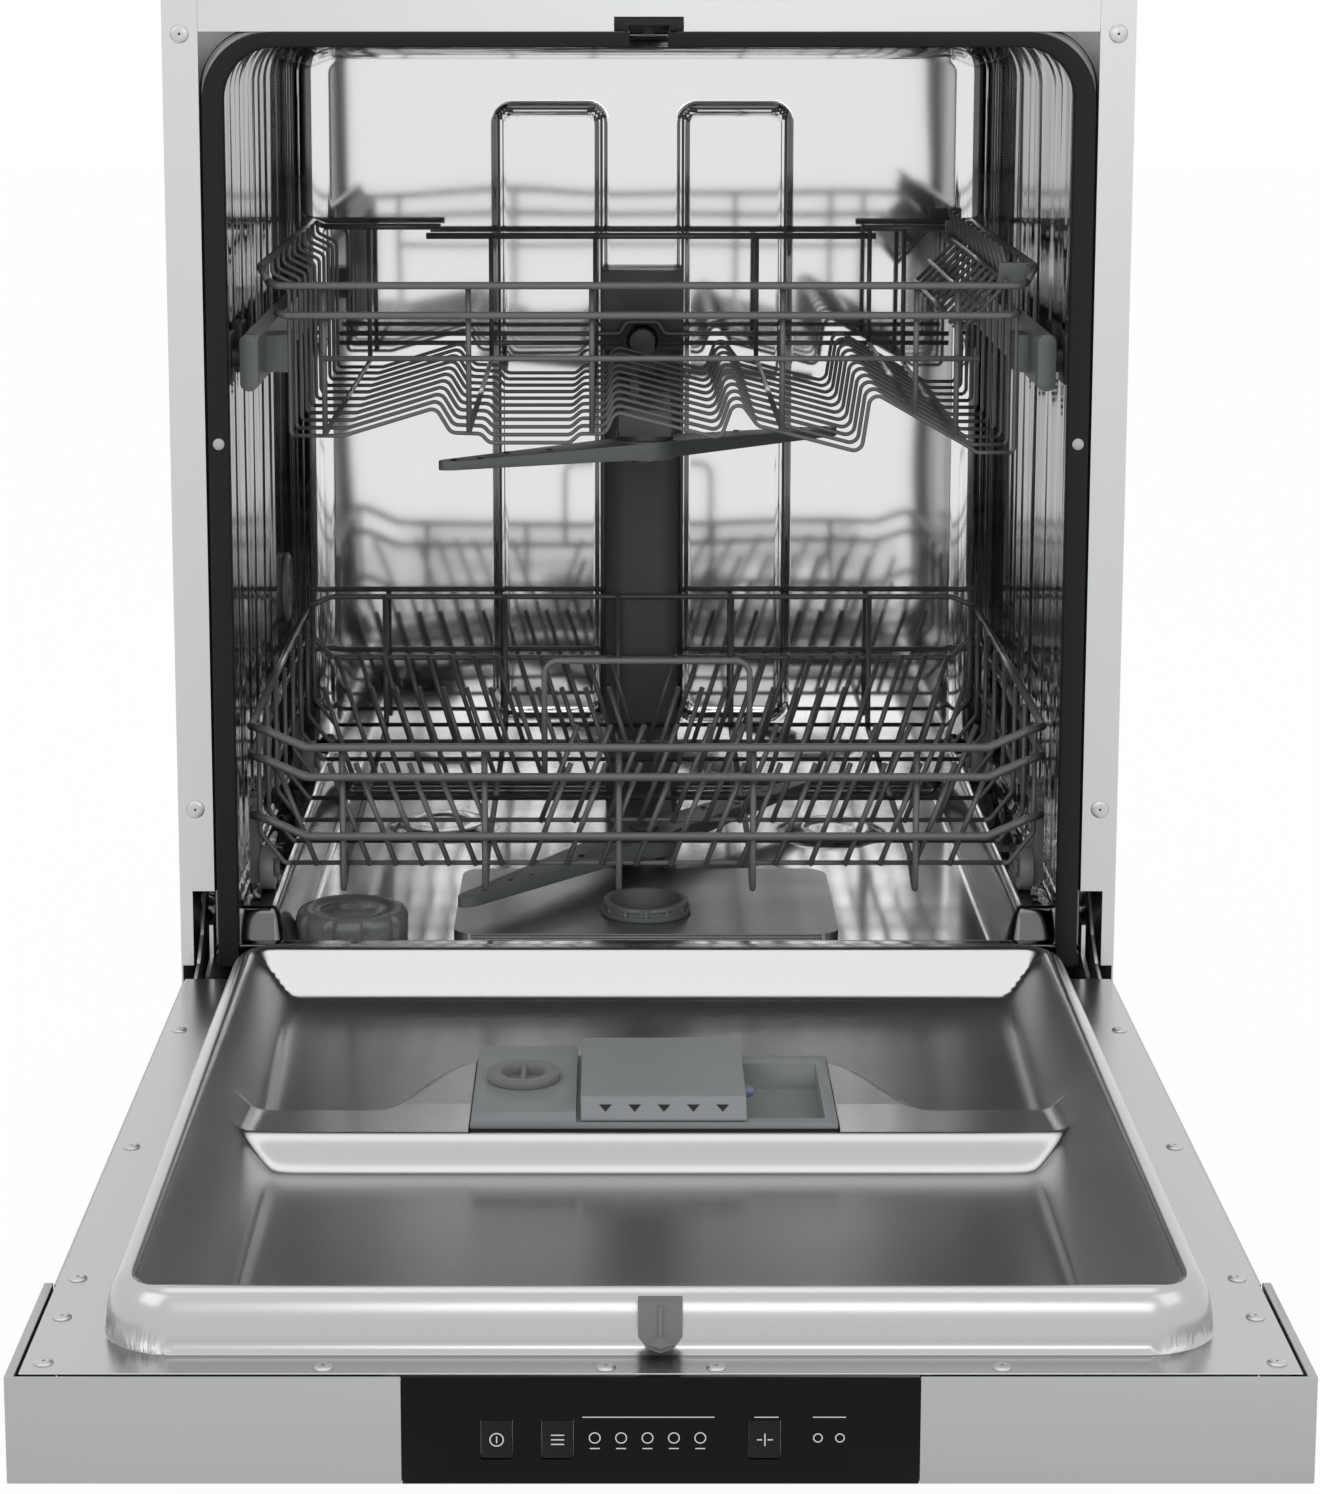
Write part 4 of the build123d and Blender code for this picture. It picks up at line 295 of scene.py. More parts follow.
mark_ink = Finish("mark_ink", base_color=(0.78, 0.79, 0.80), roughness=0.5).material
blue_plastic = plastic("blue_plastic", (0.16, 0.20, 0.30), 0.35)
print(len(bpy.data.materials), "finishes")

# %% [markdown]
# Steel shows what is round it. A white room gives it pale reflections, and softboxes above and
# beside the camera give the soft gradients of a product photograph. The room is full white only
# for the rays that show it, straight or in a mirror. As a light it is dimmer, so that pale
# steel doesn't clip.

# %% Room and lamps
DIFFUSE_ROOM = 0.60
world = bpy.data.worlds.new("room")
bpy.context.scene.world = world
world.use_nodes = True
world.node_tree.nodes.clear()
room = Nodes(world.node_tree)
camera_ray, glossy_ray, clear_ray = room.seen_rays()
larger = {"operation": "MAXIMUM"}
seen = room.node("ShaderNodeMath", larger, {0: camera_ray, 1: glossy_ray})
seen = room.node("ShaderNodeMath", larger, {0: seen, 1: clear_ray})
strength = room.node(
    "ShaderNodeMapRange", {}, {"Value": seen, "To Min": DIFFUSE_ROOM, "To Max": 1.0}
)
sky = room.node("ShaderNodeBackground", {}, {"Color": (1, 1, 1, 1), "Strength": strength})
room.node("ShaderNodeOutputWorld", {}, {"Surface": sky})
bpy.context.scene.view_settings.view_transform = "Standard"


def softbox(name, place, aim, size, power):
    """A rectangular lamp of so many watts that looks at a point, in metres."""
    lamp = bpy.data.lights.new(name, "AREA")
    lamp.shape = "RECTANGLE"
    lamp.size, lamp.size_y = size
    lamp.energy = power
    box = bpy.data.objects.new(name, lamp)
    bpy.context.scene.collection.objects.link(box)
    box.location = Vector(place)
    box.rotation_euler = (Vector(aim) - box.location).to_track_quat("-Z", "Y").to_euler()


softbox("key_left", (-1.9, -2.0, 2.1), (0, 0.1, 0.4), (1.8, 1.8), 8)
softbox("key_right", (1.9, -1.8, 1.9), (0, 0.1, 0.4), (1.6, 1.6), 5)
softbox("top", (0, -0.5, 2.6), (0, -0.1, 0.2), (1.8, 1.4), 5)
softbox("inside_fill", (0.25, -2.7, 1.25), (0, 0.5, 0.5), (1.2, 0.7), 4)
print(len(bpy.data.lights), "lamps")

# %% [markdown]
# A pressed or moulded edge is never sharp. Weld joins the split corners of each solid again, and
# a small bevel on its hard edges catches the light as the real edge does. Round wires need no
# bevel. Large flat sheets get neither, because smoothing across them would bend what they mirror.

# %% Dress the solids
SLOT_FINISH = {
    "casing_steel": casing,
    "tub_steel": back_steel,
    "door_steel": shaded_fascia_steel,
    "black_rubber": rubber,
    "black_plastic": black_plastic,
    "black_gloss": insert_gloss,
    "grey_plastic": grey_plastic,
    "dark_plastic": dark_plastic,
    "pale_plastic": pale_plastic,
    "wire_coat": wire_coat,
    "felt": mat_felt,
    "zinc_steel": zinc,
}
NODE_FINISH = {
    "front_crossbar": bar_steel,
    "side_panel_left": strip_steel,
    "side_panel_right": strip_steel,
    "door_skin": casing,
    "filter_plate": mesh_steel,
    "button_power": button_gloss,
    "button_programme": button_gloss,
    "button_half_load": button_gloss,
    "feed_duct": duct_plastic,
    "upper_feed_pipe": duct_plastic,
    "upper_spray_arm": arm_plastic,
    "lower_spray_arm": arm_plastic,
    "rinse_cap": clip_plastic,
    "latch_catch": clip_plastic,
    "rack_hangers": arm_plastic,
    "wheel_carriers": clip_plastic,
    "roller_brackets": duct_plastic,
}
ROUND_NODES = (
    "upper_rack_frame", "upper_rack_floor", "lower_rack_frame", "lower_rack_tines", "cup_shelf",
)
SHEET_NODES = (
    "side_panel_left", "side_panel_right", "rear_panel", "front_crossbar", "door_skin",
    "plinth_panel", "upper_rails", "hinge_arms", "hinge_brackets", "filter_plate",
)
PLAIN_EDGE = 0.35
EDGE = {
    "tub_gasket": 1.2, "salt_cap": 1.6, "filter_cylinder": 0.6, "dispenser_body": 1.4,
    "rinse_cap": 0.8, "lower_spray_arm": 2.4, "upper_spray_arm": 2.4, "feed_duct": 2.5,
    "upper_feed_pipe": 3.0, "rack_hangers": 1.5, "wheel_carriers": 1.2,
}
WELD_DISTANCE = 0.00001
slot_of = {part["node"]: part["material_slot"] for part in frame["record"]["subparts"]}


def weld(piece):
    """Join the split corners of a solid's mesh."""
    piece.modifiers.new("weld", "WELD").merge_threshold = WELD_DISTANCE


def soften(piece, width, segments=2, angle=40, harden=True):
    """A small bevel, in millimetres, on the edges that turn by more than an angle."""
    edge = piece.modifiers.new("edge", "BEVEL")
    edge.width = width * MM
    edge.segments = segments
    edge.limit_method = "ANGLE"
    edge.angle_limit = math.radians(angle)
    edge.harden_normals = harden


def dress(node, finish):
    """A solid's material, smooth shading and softened edges."""
    solid = nodes[node]
    if not solid.material_slots:
        solid.data.materials.append(finish)
    for material_slot in solid.material_slots:
        material_slot.material = finish
    for polygon in solid.data.polygons:
        polygon.use_smooth = True
    if node in SHEET_NODES:
        return
    weld(solid)
    if node not in ROUND_NODES:
        soften(solid, EDGE.get(node, PLAIN_EDGE))


for node_name in nodes:
    dress(node_name, NODE_FINISH.get(node_name, SLOT_FINISH[slot_of[node_name]]))
print(len(nodes), "solids dressed")

# %% [markdown]
# Sheet pressings are drawn as height maps: a grid of points whose height follows a formula, with
# soft maximums where one surface runs into another. This gives the wide, even radii of deep-drawn
# steel, which sharp solids can't show.

# %% Grid pressings


def grid_piece(name, points, finish, body, thickness=0.0, keep=None, replaced=()):
    """A smooth mesh from a 2-D array of places in machine millimetres."""
    rows, columns = points.shape[:2]
    flat = points.reshape(-1, 3).copy()
    flat[:, 1] += front_plane
    flat *= MM
    index = np.arange(rows * columns).reshape(rows, columns)
    quads = np.stack(
        [index[:-1, :-1], index[:-1, 1:], index[1:, 1:], index[1:, :-1]], axis=-1
    ).reshape(-1, 4)
    if keep is not None:
        quads = quads[keep.reshape(-1)]
    mesh = bpy.data.meshes.new(name)
    mesh.from_pydata(flat.tolist(), [], quads.tolist())
    mesh.polygons.foreach_set("use_smooth", [True] * len(mesh.polygons))
    return finish_piece(name, mesh, finish, body, replaced, thickness)


def finish_piece(name, mesh, finish, body, replaced=(), thickness=0.0):
    """Put a mesh in the scene with its material, on the body that carries it."""
    shaper = bmesh.new()
    shaper.from_mesh(mesh)
    loose = [vertex for vertex in shaper.verts if not vertex.link_faces]
    bmesh.ops.delete(shaper, geom=loose, context="VERTS")
    shaper.to_mesh(mesh)
    shaper.free()
    mesh.materials.append(finish)
    piece = bpy.data.objects.new(name, mesh)
    bpy.context.scene.collection.objects.link(piece)
    if thickness:
        wall = piece.modifiers.new("wall", "SOLIDIFY")
        wall.thickness = thickness * MM
        wall.offset = -1
    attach(piece, body)
    if replaced:
        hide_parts(*replaced)
    print(name, len(mesh.polygons), "faces")
    return piece


def as_mesh(name, shaper):
    """The mesh of a finished shape."""
    mesh = bpy.data.meshes.new(name)
    shaper.to_mesh(mesh)
    shaper.free()
    return mesh


def joined(name, shapers, finish, body, replaced=()):
    """Several small shapes as one piece."""
    many = bmesh.new()
    for shaper in shapers:
        part = as_mesh("part", shaper)
        many.from_mesh(part)
        bpy.data.meshes.remove(part)
    return finish_piece(name, as_mesh(name, many), finish, body, replaced)


def soft_max(first, second, radius):
    """The larger of two heights, blended over a radius."""
    return 0.5 * (first + second + np.sqrt((first - second) ** 2 + radius**2))


def soft_min(first, second, radius):
    """The smaller of two heights, blended over a radius."""
    return -soft_max(-first, -second, radius)


def inside_round_box(x, y, half_x, half_y, corner):
    """How deep a point lies inside a rectangle with round corners."""
    qx = np.abs(x) - (half_x - corner)
    qy = np.abs(y) - (half_y - corner)
    outside = np.hypot(np.maximum(qx, 0), np.maximum(qy, 0))
    return corner - outside - np.minimum(np.maximum(qx, qy), 0)


def ease(value):
    """A smooth step from 0 to 1."""
    clipped = np.clip(value, 0, 1)
    return clipped * clipped * (3 - 2 * clipped)


# %% [markdown]
# The door's inner sheet is one deep pressing: a flat flange, a rounded ridge that presses on the
# seal, and two basins with sloped walls. The platform for the dispenser divides the basins.

# %% Door liner
FLANGE_Z = 205.6
RIDGE_Z = 235.0
RIDGE_HALF_X = 260.0
RIDGE_NEAR, RIDGE_FAR = -602.4, -37.0
RIDGE_BAND = 15.0
NEAR_BAND = 12.4
FAR_BAND = 21.0
REAR_FLOOR, PLATFORM, NEAR_FLOOR = (204.0, 209.5), 212.0, 195.0
RIDGE_RUN, RIDGE_SQUARE = 13.0, 2.3
RIDGE_CORNER, BASIN_CORNER = 34.0, 12.0
FLOOR_FROM, FLOOR_RUN = -290.0, 230.0
PLATFORM_FALL, PLATFORM_DROP = 0.045, 2.4
WING_RUN, STEP_LEAD, STEP_RUN = 5.0, 18.0, 20.0
WALL_SLOPE, WALL_OVER = 1.05, 4.0
FLOOR_BLEND, RIM_BLEND, LINER_SHEET = 4.0, 1.6, 0.8
STEP_Y = -326.0
WING_BACK, WING_REACH = (-285.0, -204.0), (156.0, 104.0)
POCKET_X, POCKET_Y = (-98.0, 99.0), (-320.5, -209.5)
FINE, COARSE = 0.75, 3.0


def uneven(*stops):
    """Grid lines between (place, spacing) stops, fine where the sheet bends."""
    lines = [
        np.arange(low, high, spacing) for (low, spacing), (high, _) in zip(stops, stops[1:])
    ]
    return np.concatenate([*lines, [stops[-1][0]]])


spread = uneven((-292, FINE), (-236, COARSE), (236, FINE), (292, FINE))
run = uneven(
    (-624, FINE), (-560, COARSE), (-356, FINE), (-196, COARSE), (-86, FINE), (-28, FINE)
)
x, y = np.meshgrid(spread, run)
middle = (RIDGE_NEAR + RIDGE_FAR) / 2
outer = inside_round_box(x, y - middle, RIDGE_HALF_X, (RIDGE_FAR - RIDGE_NEAR) / 2, RIDGE_CORNER)
rise = np.clip(outer / RIDGE_RUN, 0, 1)
ridge = FLANGE_Z + (RIDGE_Z - FLANGE_Z) * (1 - (1 - rise) ** RIDGE_SQUARE) ** (1 / RIDGE_SQUARE)
inner_near, inner_far = RIDGE_NEAR + NEAR_BAND, RIDGE_FAR - FAR_BAND
inner_middle = (inner_near + inner_far) / 2
inner_half = (inner_far - inner_near) / 2
inner_half_x = RIDGE_HALF_X - RIDGE_BAND
inner = inside_round_box(x, y - inner_middle, inner_half_x, inner_half, BASIN_CORNER)
wing = ease((WING_REACH[0] - np.abs(x)) / (WING_REACH[0] - WING_REACH[1]))
wing_y = WING_BACK[0] + (WING_BACK[1] - WING_BACK[0]) * wing
rear_rise = np.clip((y - FLOOR_FROM) / FLOOR_RUN, 0, 1)
rear = REAR_FLOOR[0] + (REAR_FLOOR[1] - REAR_FLOOR[0]) * rear_rise
platform = PLATFORM - PLATFORM_FALL * np.maximum(y - STEP_Y, 0)
platform = np.maximum(platform, PLATFORM - PLATFORM_DROP)
back_floor = platform - (platform - rear) * ease((y - wing_y) / WING_RUN)
step = ease((y - STEP_Y + STEP_LEAD) / STEP_RUN)
floor = NEAR_FLOOR + (back_floor - NEAR_FLOOR) * step
wall = RIDGE_Z - WALL_SLOPE * np.maximum(inner, -WALL_OVER)
basin = soft_max(wall, floor, FLOOR_BLEND)
rim = np.minimum(soft_min(ridge, basin, RIM_BLEND), RIDGE_Z)
height = np.where(outer > 0, rim, FLANGE_Z)
pocket = (x > POCKET_X[0]) & (x < POCKET_X[1]) & (y > POCKET_Y[0]) & (y < POCKET_Y[1])
grid_piece(
    "liner_pressing", np.stack([x, y, height], axis=-1), liner_steel, "door",
    LINER_SHEET, ~pocket[:-1, :-1], ("door_liner",),
)

# %% [markdown]
# The tub is wrapped from one sheet, with round upper corners, and a folded lip at the mouth. Its
# back is pressed with two tall panels with grooves round them, and curls forward to meet the
# sides. The grooves are painted near black, as painted shade, so that they read as dark lines.

# %% Tub wrapper and back
TUB_HALF, TUB_TOP, TUB_R = 268.0, 793.5, 36.0
TUB_FOOT, TUB_BACK = 206.0, 488.0
LIP, LIP_EASE = 7.6, 0.6
SIDE_STEPS, TOP_STEPS, CORNER_STEPS, DEPTH_STEPS = 30, 41, 14, 24
LATCH_HALF, LATCH_ROWS = 14, 5
WRAPPER_SHEET, BACK_SHEET = 1.0, 0.8


def tub_arch(offset):
    """The tub's outline seen from the front, moved outward by an offset."""
    half, top, corner = TUB_HALF + offset, TUB_TOP + offset, TUB_R + offset * LIP_EASE
    left = [(-half, z) for z in np.linspace(TUB_FOOT, top - corner, SIDE_STEPS)]
    for step in range(1, CORNER_STEPS):
        angle = math.pi - step / CORNER_STEPS * math.pi / 2
        across, up = corner * math.cos(angle), corner * math.sin(angle)
        left.append((-half + corner + across, top - corner + up))
    ceiling = [(px, top) for px in np.linspace(-half + corner, half - corner, TOP_STEPS)]
    return np.array(left + ceiling + [(-px, z) for px, z in reversed(left)])


sections = [(LIP, 0.6), (1.2, 0.6), (0.35, 0.9), (0, 1.8)]
sections += [(0, depth) for depth in np.linspace(20, TUB_BACK + 1, DEPTH_STEPS)]
rows = []
for offset, depth in sections:
    outline = tub_arch(offset)
    rows.append(np.column_stack([outline[:, 0], np.full(len(outline), depth), outline[:, 1]]))
points = np.stack(rows)[:, ::-1]
centre_x = (points[:-1, :-1, 0] + points[1:, 1:, 0]) / 2
low_row = np.arange(len(rows) - 1)[:, None] < LATCH_ROWS
ceiling = points[:-1, :-1, 2] > TUB_TOP - 1
keep = ~((np.abs(centre_x) < LATCH_HALF) & low_row & ceiling)
# The wrapper takes the darkened wall steel: painted shade and painted reflection.
grid_piece(
    "tub_shell", points, shaded_wall_steel, "cabinet", WRAPPER_SHEET, keep,
    ("tub_wrapper",),
)

PANEL_X, PANEL_Z, PANEL_R = (28.0, 112.0), (257.0, 733.0), 14.0
GROOVE_HALF, GROOVE_DEEP, GROOVE_SHADE_HALF, CURL = 3.0, 1.6, 1.8, 30.0


def panel_depth(x, z, side):
    """How deep a point of the back lies inside the panel on one side."""
    return inside_round_box(
        x - side * sum(PANEL_X) / 2, z - sum(PANEL_Z) / 2,
        (PANEL_X[1] - PANEL_X[0]) / 2, (PANEL_Z[1] - PANEL_Z[0]) / 2, PANEL_R,
    )


x, z = np.meshgrid(np.arange(-268, 268.1, 2.0), np.arange(200, 793.6, 1.85))
arch_depth = inside_round_box(x, z - (TUB_TOP - 400), TUB_HALF, 400, TUB_R)
curl = np.clip(CURL - arch_depth, 0, CURL)
sunk = TUB_BACK - (CURL - np.sqrt(CURL**2 - curl**2))
for side in (-1, 1):
    across = np.abs(panel_depth(x, z, side) - GROOVE_HALF) / GROOVE_HALF
    sunk = sunk - GROOVE_DEEP * ease(1.6 - across)
inside = arch_depth[:-1, :-1] > -1.5
back_piece = grid_piece(
    "tub_back_pressing", np.stack([x, sunk, z], axis=-1), back_steel, "cabinet",
    BACK_SHEET, inside, ("tub_back_wall",),
)
# Faces along the grooves take a near-black steel: painted shade in the grooves.
back_piece.data.materials.append(groove_painted_shade)
for face in back_piece.data.polygons:
    place = face.center / MM
    depths = [panel_depth(place.x, place.z, side) for side in (-1, 1)]
    groove_shaded = any(abs(depth - GROOVE_HALF) < GROOVE_SHADE_HALF for depth in depths)
    face.material_index = int(groove_shaded)

# %% [markdown]
# The tub floor rises to two ledges that the lower rack's wheels run on. Shallow domes stiffen it,
# and a front sill keeps the water in. The floor's steel is written darker than the back's, and
# the ledges' near ends and outer sides darker still: painted shade and painted reflection.

# %% Tub floor
FLOOR_Z, LEDGE_Z, SILL_Z = 200.0, 235.0, 219.0
DOMES = ((-150, 370, 42), (139, 352, 42))
DOME_HIGH, DISH_DEEP = 5.0, 2.0
LEDGE_X, LEDGE_RUN, LEDGE_FROM = 227, 15, 10
x, y = np.meshgrid(np.arange(-268, 268.1, 2.0), np.arange(1.0, 488.1, 2.0))
ledge = FLOOR_Z + (LEDGE_Z - FLOOR_Z) * ease((np.abs(x) - LEDGE_X) / LEDGE_RUN)
ledge_end = FLOOR_Z + (ledge - FLOOR_Z) * ease((y - LEDGE_FROM) / 26)
ledge = np.where(y > 34, ledge, ledge_end)
sill = FLOOR_Z + (SILL_Z - FLOOR_Z) * ease((30 - y) / 18)
height = np.maximum(ledge, sill)
for dome_x, dome_y, radius in DOMES:
    away = np.hypot(x - dome_x, (y - dome_y) * 0.9)
    height = height + DOME_HIGH * ease((radius - away) / 14)
    height = height - DISH_DEEP * ease((radius * 0.5 - away) / 6)
for run, radius in ((np.abs(x) - 262, 6.0), (y - 474, 14.0)):
    along = np.clip(run, 0, radius)
    height = height + radius - np.sqrt(radius**2 - along**2)
well = (np.abs(x) < 116) & (y > 84) & (y < 224)
well = well | (np.hypot(x + 195, y - 80) < 28) | (np.hypot(x, y - 280) < 11)
# The floor takes the darkened floor steel: painted shade and painted reflection.
floor_piece = grid_piece(
    "tub_floor_pressing", np.stack([x, y, height], axis=-1), shaded_floor_steel, "cabinet",
    1.0, ~well[:-1, :-1], ("tub_floor",),
)
# The ledges' near ends and outer sides take the dark wall steel: painted shade and painted
# reflection.
floor_piece.data.materials.append(shaded_wall_steel)
for face in floor_piece.data.polygons:
    place = face.center / MM
    shaded_ledge_end = abs(place.x) > 226 and place.y - front_plane < 38
    face.material_index = int(shaded_ledge_end or abs(place.x) > 244)

# %% [markdown]
# Pan-head screws are turned shapes: a low dome with a cross-shaped recess, shown here as a thin
# dark cross, which is painted shade in the recess. One lathe function makes any round piece from
# its profile, and one function sets copies of it at several places as one piece.

# %% Turned pieces and screws


def skin(shaper, rings, closed=False):
    """Smooth faces from ring to ring, and over both ends unless the rings close on themselves."""
    for low, high in zip(rings, rings[1:] + rings[:1] * closed):
        for step in range(len(low)):
            after = (step + 1) % len(low)
            shaper.faces.new((low[step], low[after], high[after], high[step]))
    if not closed:
        shaper.faces.new(list(reversed(rings[0])))
        shaper.faces.new(rings[-1])
    for face in shaper.faces:
        face.smooth = True


def lathe(profile, steps=28, lobes=0, cut=0.0, hollow=False):
    """A round mesh turned about Z from (radius, height) pairs, with scallops cut in its rim."""
    rim = max(radius for radius, _ in profile)
    shaper = bmesh.new()
    rings = []
    for radius, level in profile:
        ring = []
        for step in range(steps):
            angle = 2 * math.pi * step / steps
            bite = cut * max(0.0, math.cos(lobes * angle)) ** 4 * (radius / rim) ** 8
            reach = radius - bite
            ring.append(shaper.verts.new((reach * math.cos(angle), reach * math.sin(angle), level)))
        rings.append(ring)
    skin(shaper, rings, hollow)
    return shaper


CROSS_THICK = 0.06


def screw_mesh(radius, dome):
    """A pan head with a dark cross painted as shade in its recess, standing on its seat."""
    slot = radius * 0.12
    reach = radius * 0.5
    shaper = lathe([
        (radius, 0), (radius, dome * 0.25), (radius * 0.86, dome * 0.7),
        (radius * 0.6, dome * 0.95), (radius * 0.2, dome),
    ])
    for turn in (0, math.pi / 2):
        bar = bmesh.ops.create_cube(shaper, size=1.0)["verts"]
        bmesh.ops.scale(shaper, vec=(reach * 2, slot * 2, CROSS_THICK), verts=bar)
        quarter = Matrix.Rotation(turn, 3, "Z")
        bmesh.ops.rotate(shaper, cent=(0, 0, 0), matrix=quarter, verts=bar)
        bmesh.ops.translate(shaper, vec=(0, 0, dome), verts=bar)
        # The cross takes the second, near-black finish: painted shade in the recess.
        for face in {face for vertex in bar for face in vertex.link_faces}:
            face.material_index = 1
            face.smooth = False
    return shaper


def scatter(name, shaper, places, turn, materials, body, replaced=()):
    """Copies of one small shape, in millimetres, at several places."""
    one = as_mesh(name + "_one", shaper)
    many = bmesh.new()
    for place in places:
        matrix = Matrix.Translation(at(*place)) @ turn.to_4x4() @ Matrix.Diagonal((MM, MM, MM, 1))
        first = len(many.verts)
        many.from_mesh(one)
        many.verts.ensure_lookup_table()
        bmesh.ops.transform(many, matrix=matrix, verts=many.verts[first:])
    bpy.data.meshes.remove(one)
    mesh = as_mesh(name, many)
    for extra in materials[1:]:
        mesh.materials.append(extra)
    piece = finish_piece(name, mesh, materials[0], body, replaced)
    piece.data.materials.clear()
    for material in materials:
        piece.data.materials.append(material)
    return piece


FLAT = Matrix.Identity(3)
FACING = Matrix.Rotation(math.pi / 2, 3, "X")
strip_places = [(s * 287, 0, z) for s in (-1, 1) for z in (308.6, 796)]
scatter(
    "strip_screws", screw_mesh(5.7, 1.2), strip_places, FACING, (zinc, black_plastic), "cabinet",
    ("frame_screws",),
)
flange_places = [(px, -617, FLANGE_Z) for px in (-154, -25, 25.5, 156)]
flange_places += [
    (s * 282.5, py, FLANGE_Z) for s in (-1, 1) for py in (-612, -560, -513, -330, -130)
]
scatter(
    "flange_screws", screw_mesh(4.6, 1.2), flange_places, FLAT, (zinc, black_plastic), "door",
    ("door_screws",),
)

# %% [markdown]
# The dispenser's lid is a thin cover with a steep front wall and five small triangular drain
# holes. The holes are shown as dark inlays in the sloped wall, painted shade in place of the open
# holes.

# %% Dispenser lid


def bridged(first, second):
    """A solid between two outlines that match point by point."""
    shaper = bmesh.new()
    base = [shaper.verts.new(place) for place in first]
    crest = [shaper.verts.new(place) for place in second]
    shaper.faces.new(base)
    shaper.faces.new(list(reversed(crest)))
    for i in range(len(base)):
        j = (i + 1) % len(base)
        shaper.faces.new((base[j], base[i], crest[i], crest[j]))
    bmesh.ops.recalc_face_normals(shaper, faces=shaper.faces)
    return shaper


def prism(outline, x_low, x_high):
    """A solid from an outline in y and z, between two values of x."""
    return bridged(*[[at(px, py, pz) for py, pz in outline] for px in (x_low, x_high)])


def hard_piece(name, shaper, finish, body, edge, replaced=()):
    """A moulded piece with softened edges."""
    piece = finish_piece(name, as_mesh(name, shaper), finish, body, replaced)
    soften(piece, edge, 3, 30)


LID_X, LID_Y = (-39.5, 51.0), (-320.0, -211.0)
LID_LOW, LID_TOP = 216.4, 228.0
lid_outline = [
    (LID_Y[0], LID_LOW), (LID_Y[0], LID_LOW + 1.6), (LID_Y[0] + 9, LID_TOP - 0.6),
    (LID_Y[0] + 12, LID_TOP), (LID_Y[1], LID_TOP), (LID_Y[1], LID_LOW),
]
hard_piece(
    "lid_cover", prism(lid_outline, *LID_X), grey_plastic, "dispenser_lid", 0.9,
    ("dispenser_lid",),
)
INLAY = 0.25
corners = [(-3.4, 1.6), (3.4, 1.6), (0, -2.6)]
triangle = bridged(*[[(cx, cy, level) for cx, cy in corners] for level in (INLAY, 0)])
slope_turn = Matrix.Rotation(math.atan2(LID_TOP - 0.6 - LID_LOW - 1.6, 9), 3, "X")
inlay_z = (LID_LOW + LID_TOP) / 2 + 0.6
slot_places = [(px, LID_Y[0] + 4.6, inlay_z) for px in (-26, -10, 6, 22, 38)]
# Near-black inlays: painted shade where the drain holes are.
scatter(
    "lid_slots", triangle, slot_places, slope_turn, (black_plastic,), "dispenser_lid",
)

# %% [markdown]
# The salt cap and the filter's crown are turned parts with finger grips. The lathe bites
# scallops into a rim, and leaves a ring open in the middle. Twelve ribs join the crown's rings.

# %% Salt cap and filter crown
SALT = (-195, 80, 201.2)
salt_profile = [
    (37.2, 0), (37.2, 15), (35.5, 18.6), (32, 20.2), (26, 20.4), (25, 19.2), (17, 19.0), (16, 20.6),
    (6, 20.8), (1, 20.8),
]
scatter(
    "salt_cap_cover", lathe(salt_profile, 160, 10, 3.4), [SALT], FLAT, (cap_plastic,), "salt_cap",
    ("salt_cap",),
)
CUP, RIBS, RIB_REACH = (0, 127), 12, 27.4
ring_low = lathe([(27.2, 0), (30.2, 0), (30.2, 3.0), (29.4, 3.6), (27.2, 3.6)], 64, hollow=True)
ring_high = lathe([(25.6, 0), (28.6, 0), (28.9, 1.6), (28.4, 3.2), (25.6, 3.2)], 96, 8, 1.6, True)
rib = lathe([(1.7, 0), (1.5, 7.4)], 12)
rib_places = []
for number in range(RIBS):
    turn = number * 2 * math.pi / RIBS
    rib_x, rib_y = RIB_REACH * math.cos(turn), RIB_REACH * math.sin(turn)
    rib_places.append((CUP[0] + rib_x, CUP[1] + rib_y, 204))
for name, shape, places in (
    ("filter_ring_low", ring_low, [(*CUP, 200.9)]),
    ("filter_ring_high", ring_high, [(*CUP, 210.6)]),
    ("filter_ribs", rib, rib_places),
):
    scatter(name, shape, places, FLAT, (cap_plastic,), "filter_cylinder")

# %% [markdown]
# A spray arm is a hollow blow-moulded blade that narrows towards its tips. The solid has the
# blade's length, hub and bearing, so the drawn arm starts from it and draws its sides in with the
# distance from the hub. A row of dark nozzles shows on top.

# %% Spray arms
ARM_SHOULDER, ARM_RUN, ARM_TIP, ARM_EDGE = 34.0, 120.0, 0.55, 2.2
NOZZLES = ((-152, 0), (-134, 4), (-108, -5), (-80, 5), (80, -5), (108, 5), (134, -4), (152, 0))


def blade(reach):
    """The part of its full width that the blade keeps at a distance from the hub."""
    return 1 - (1 - ARM_TIP) * ease((np.abs(reach) - ARM_SHOULDER) / ARM_RUN)


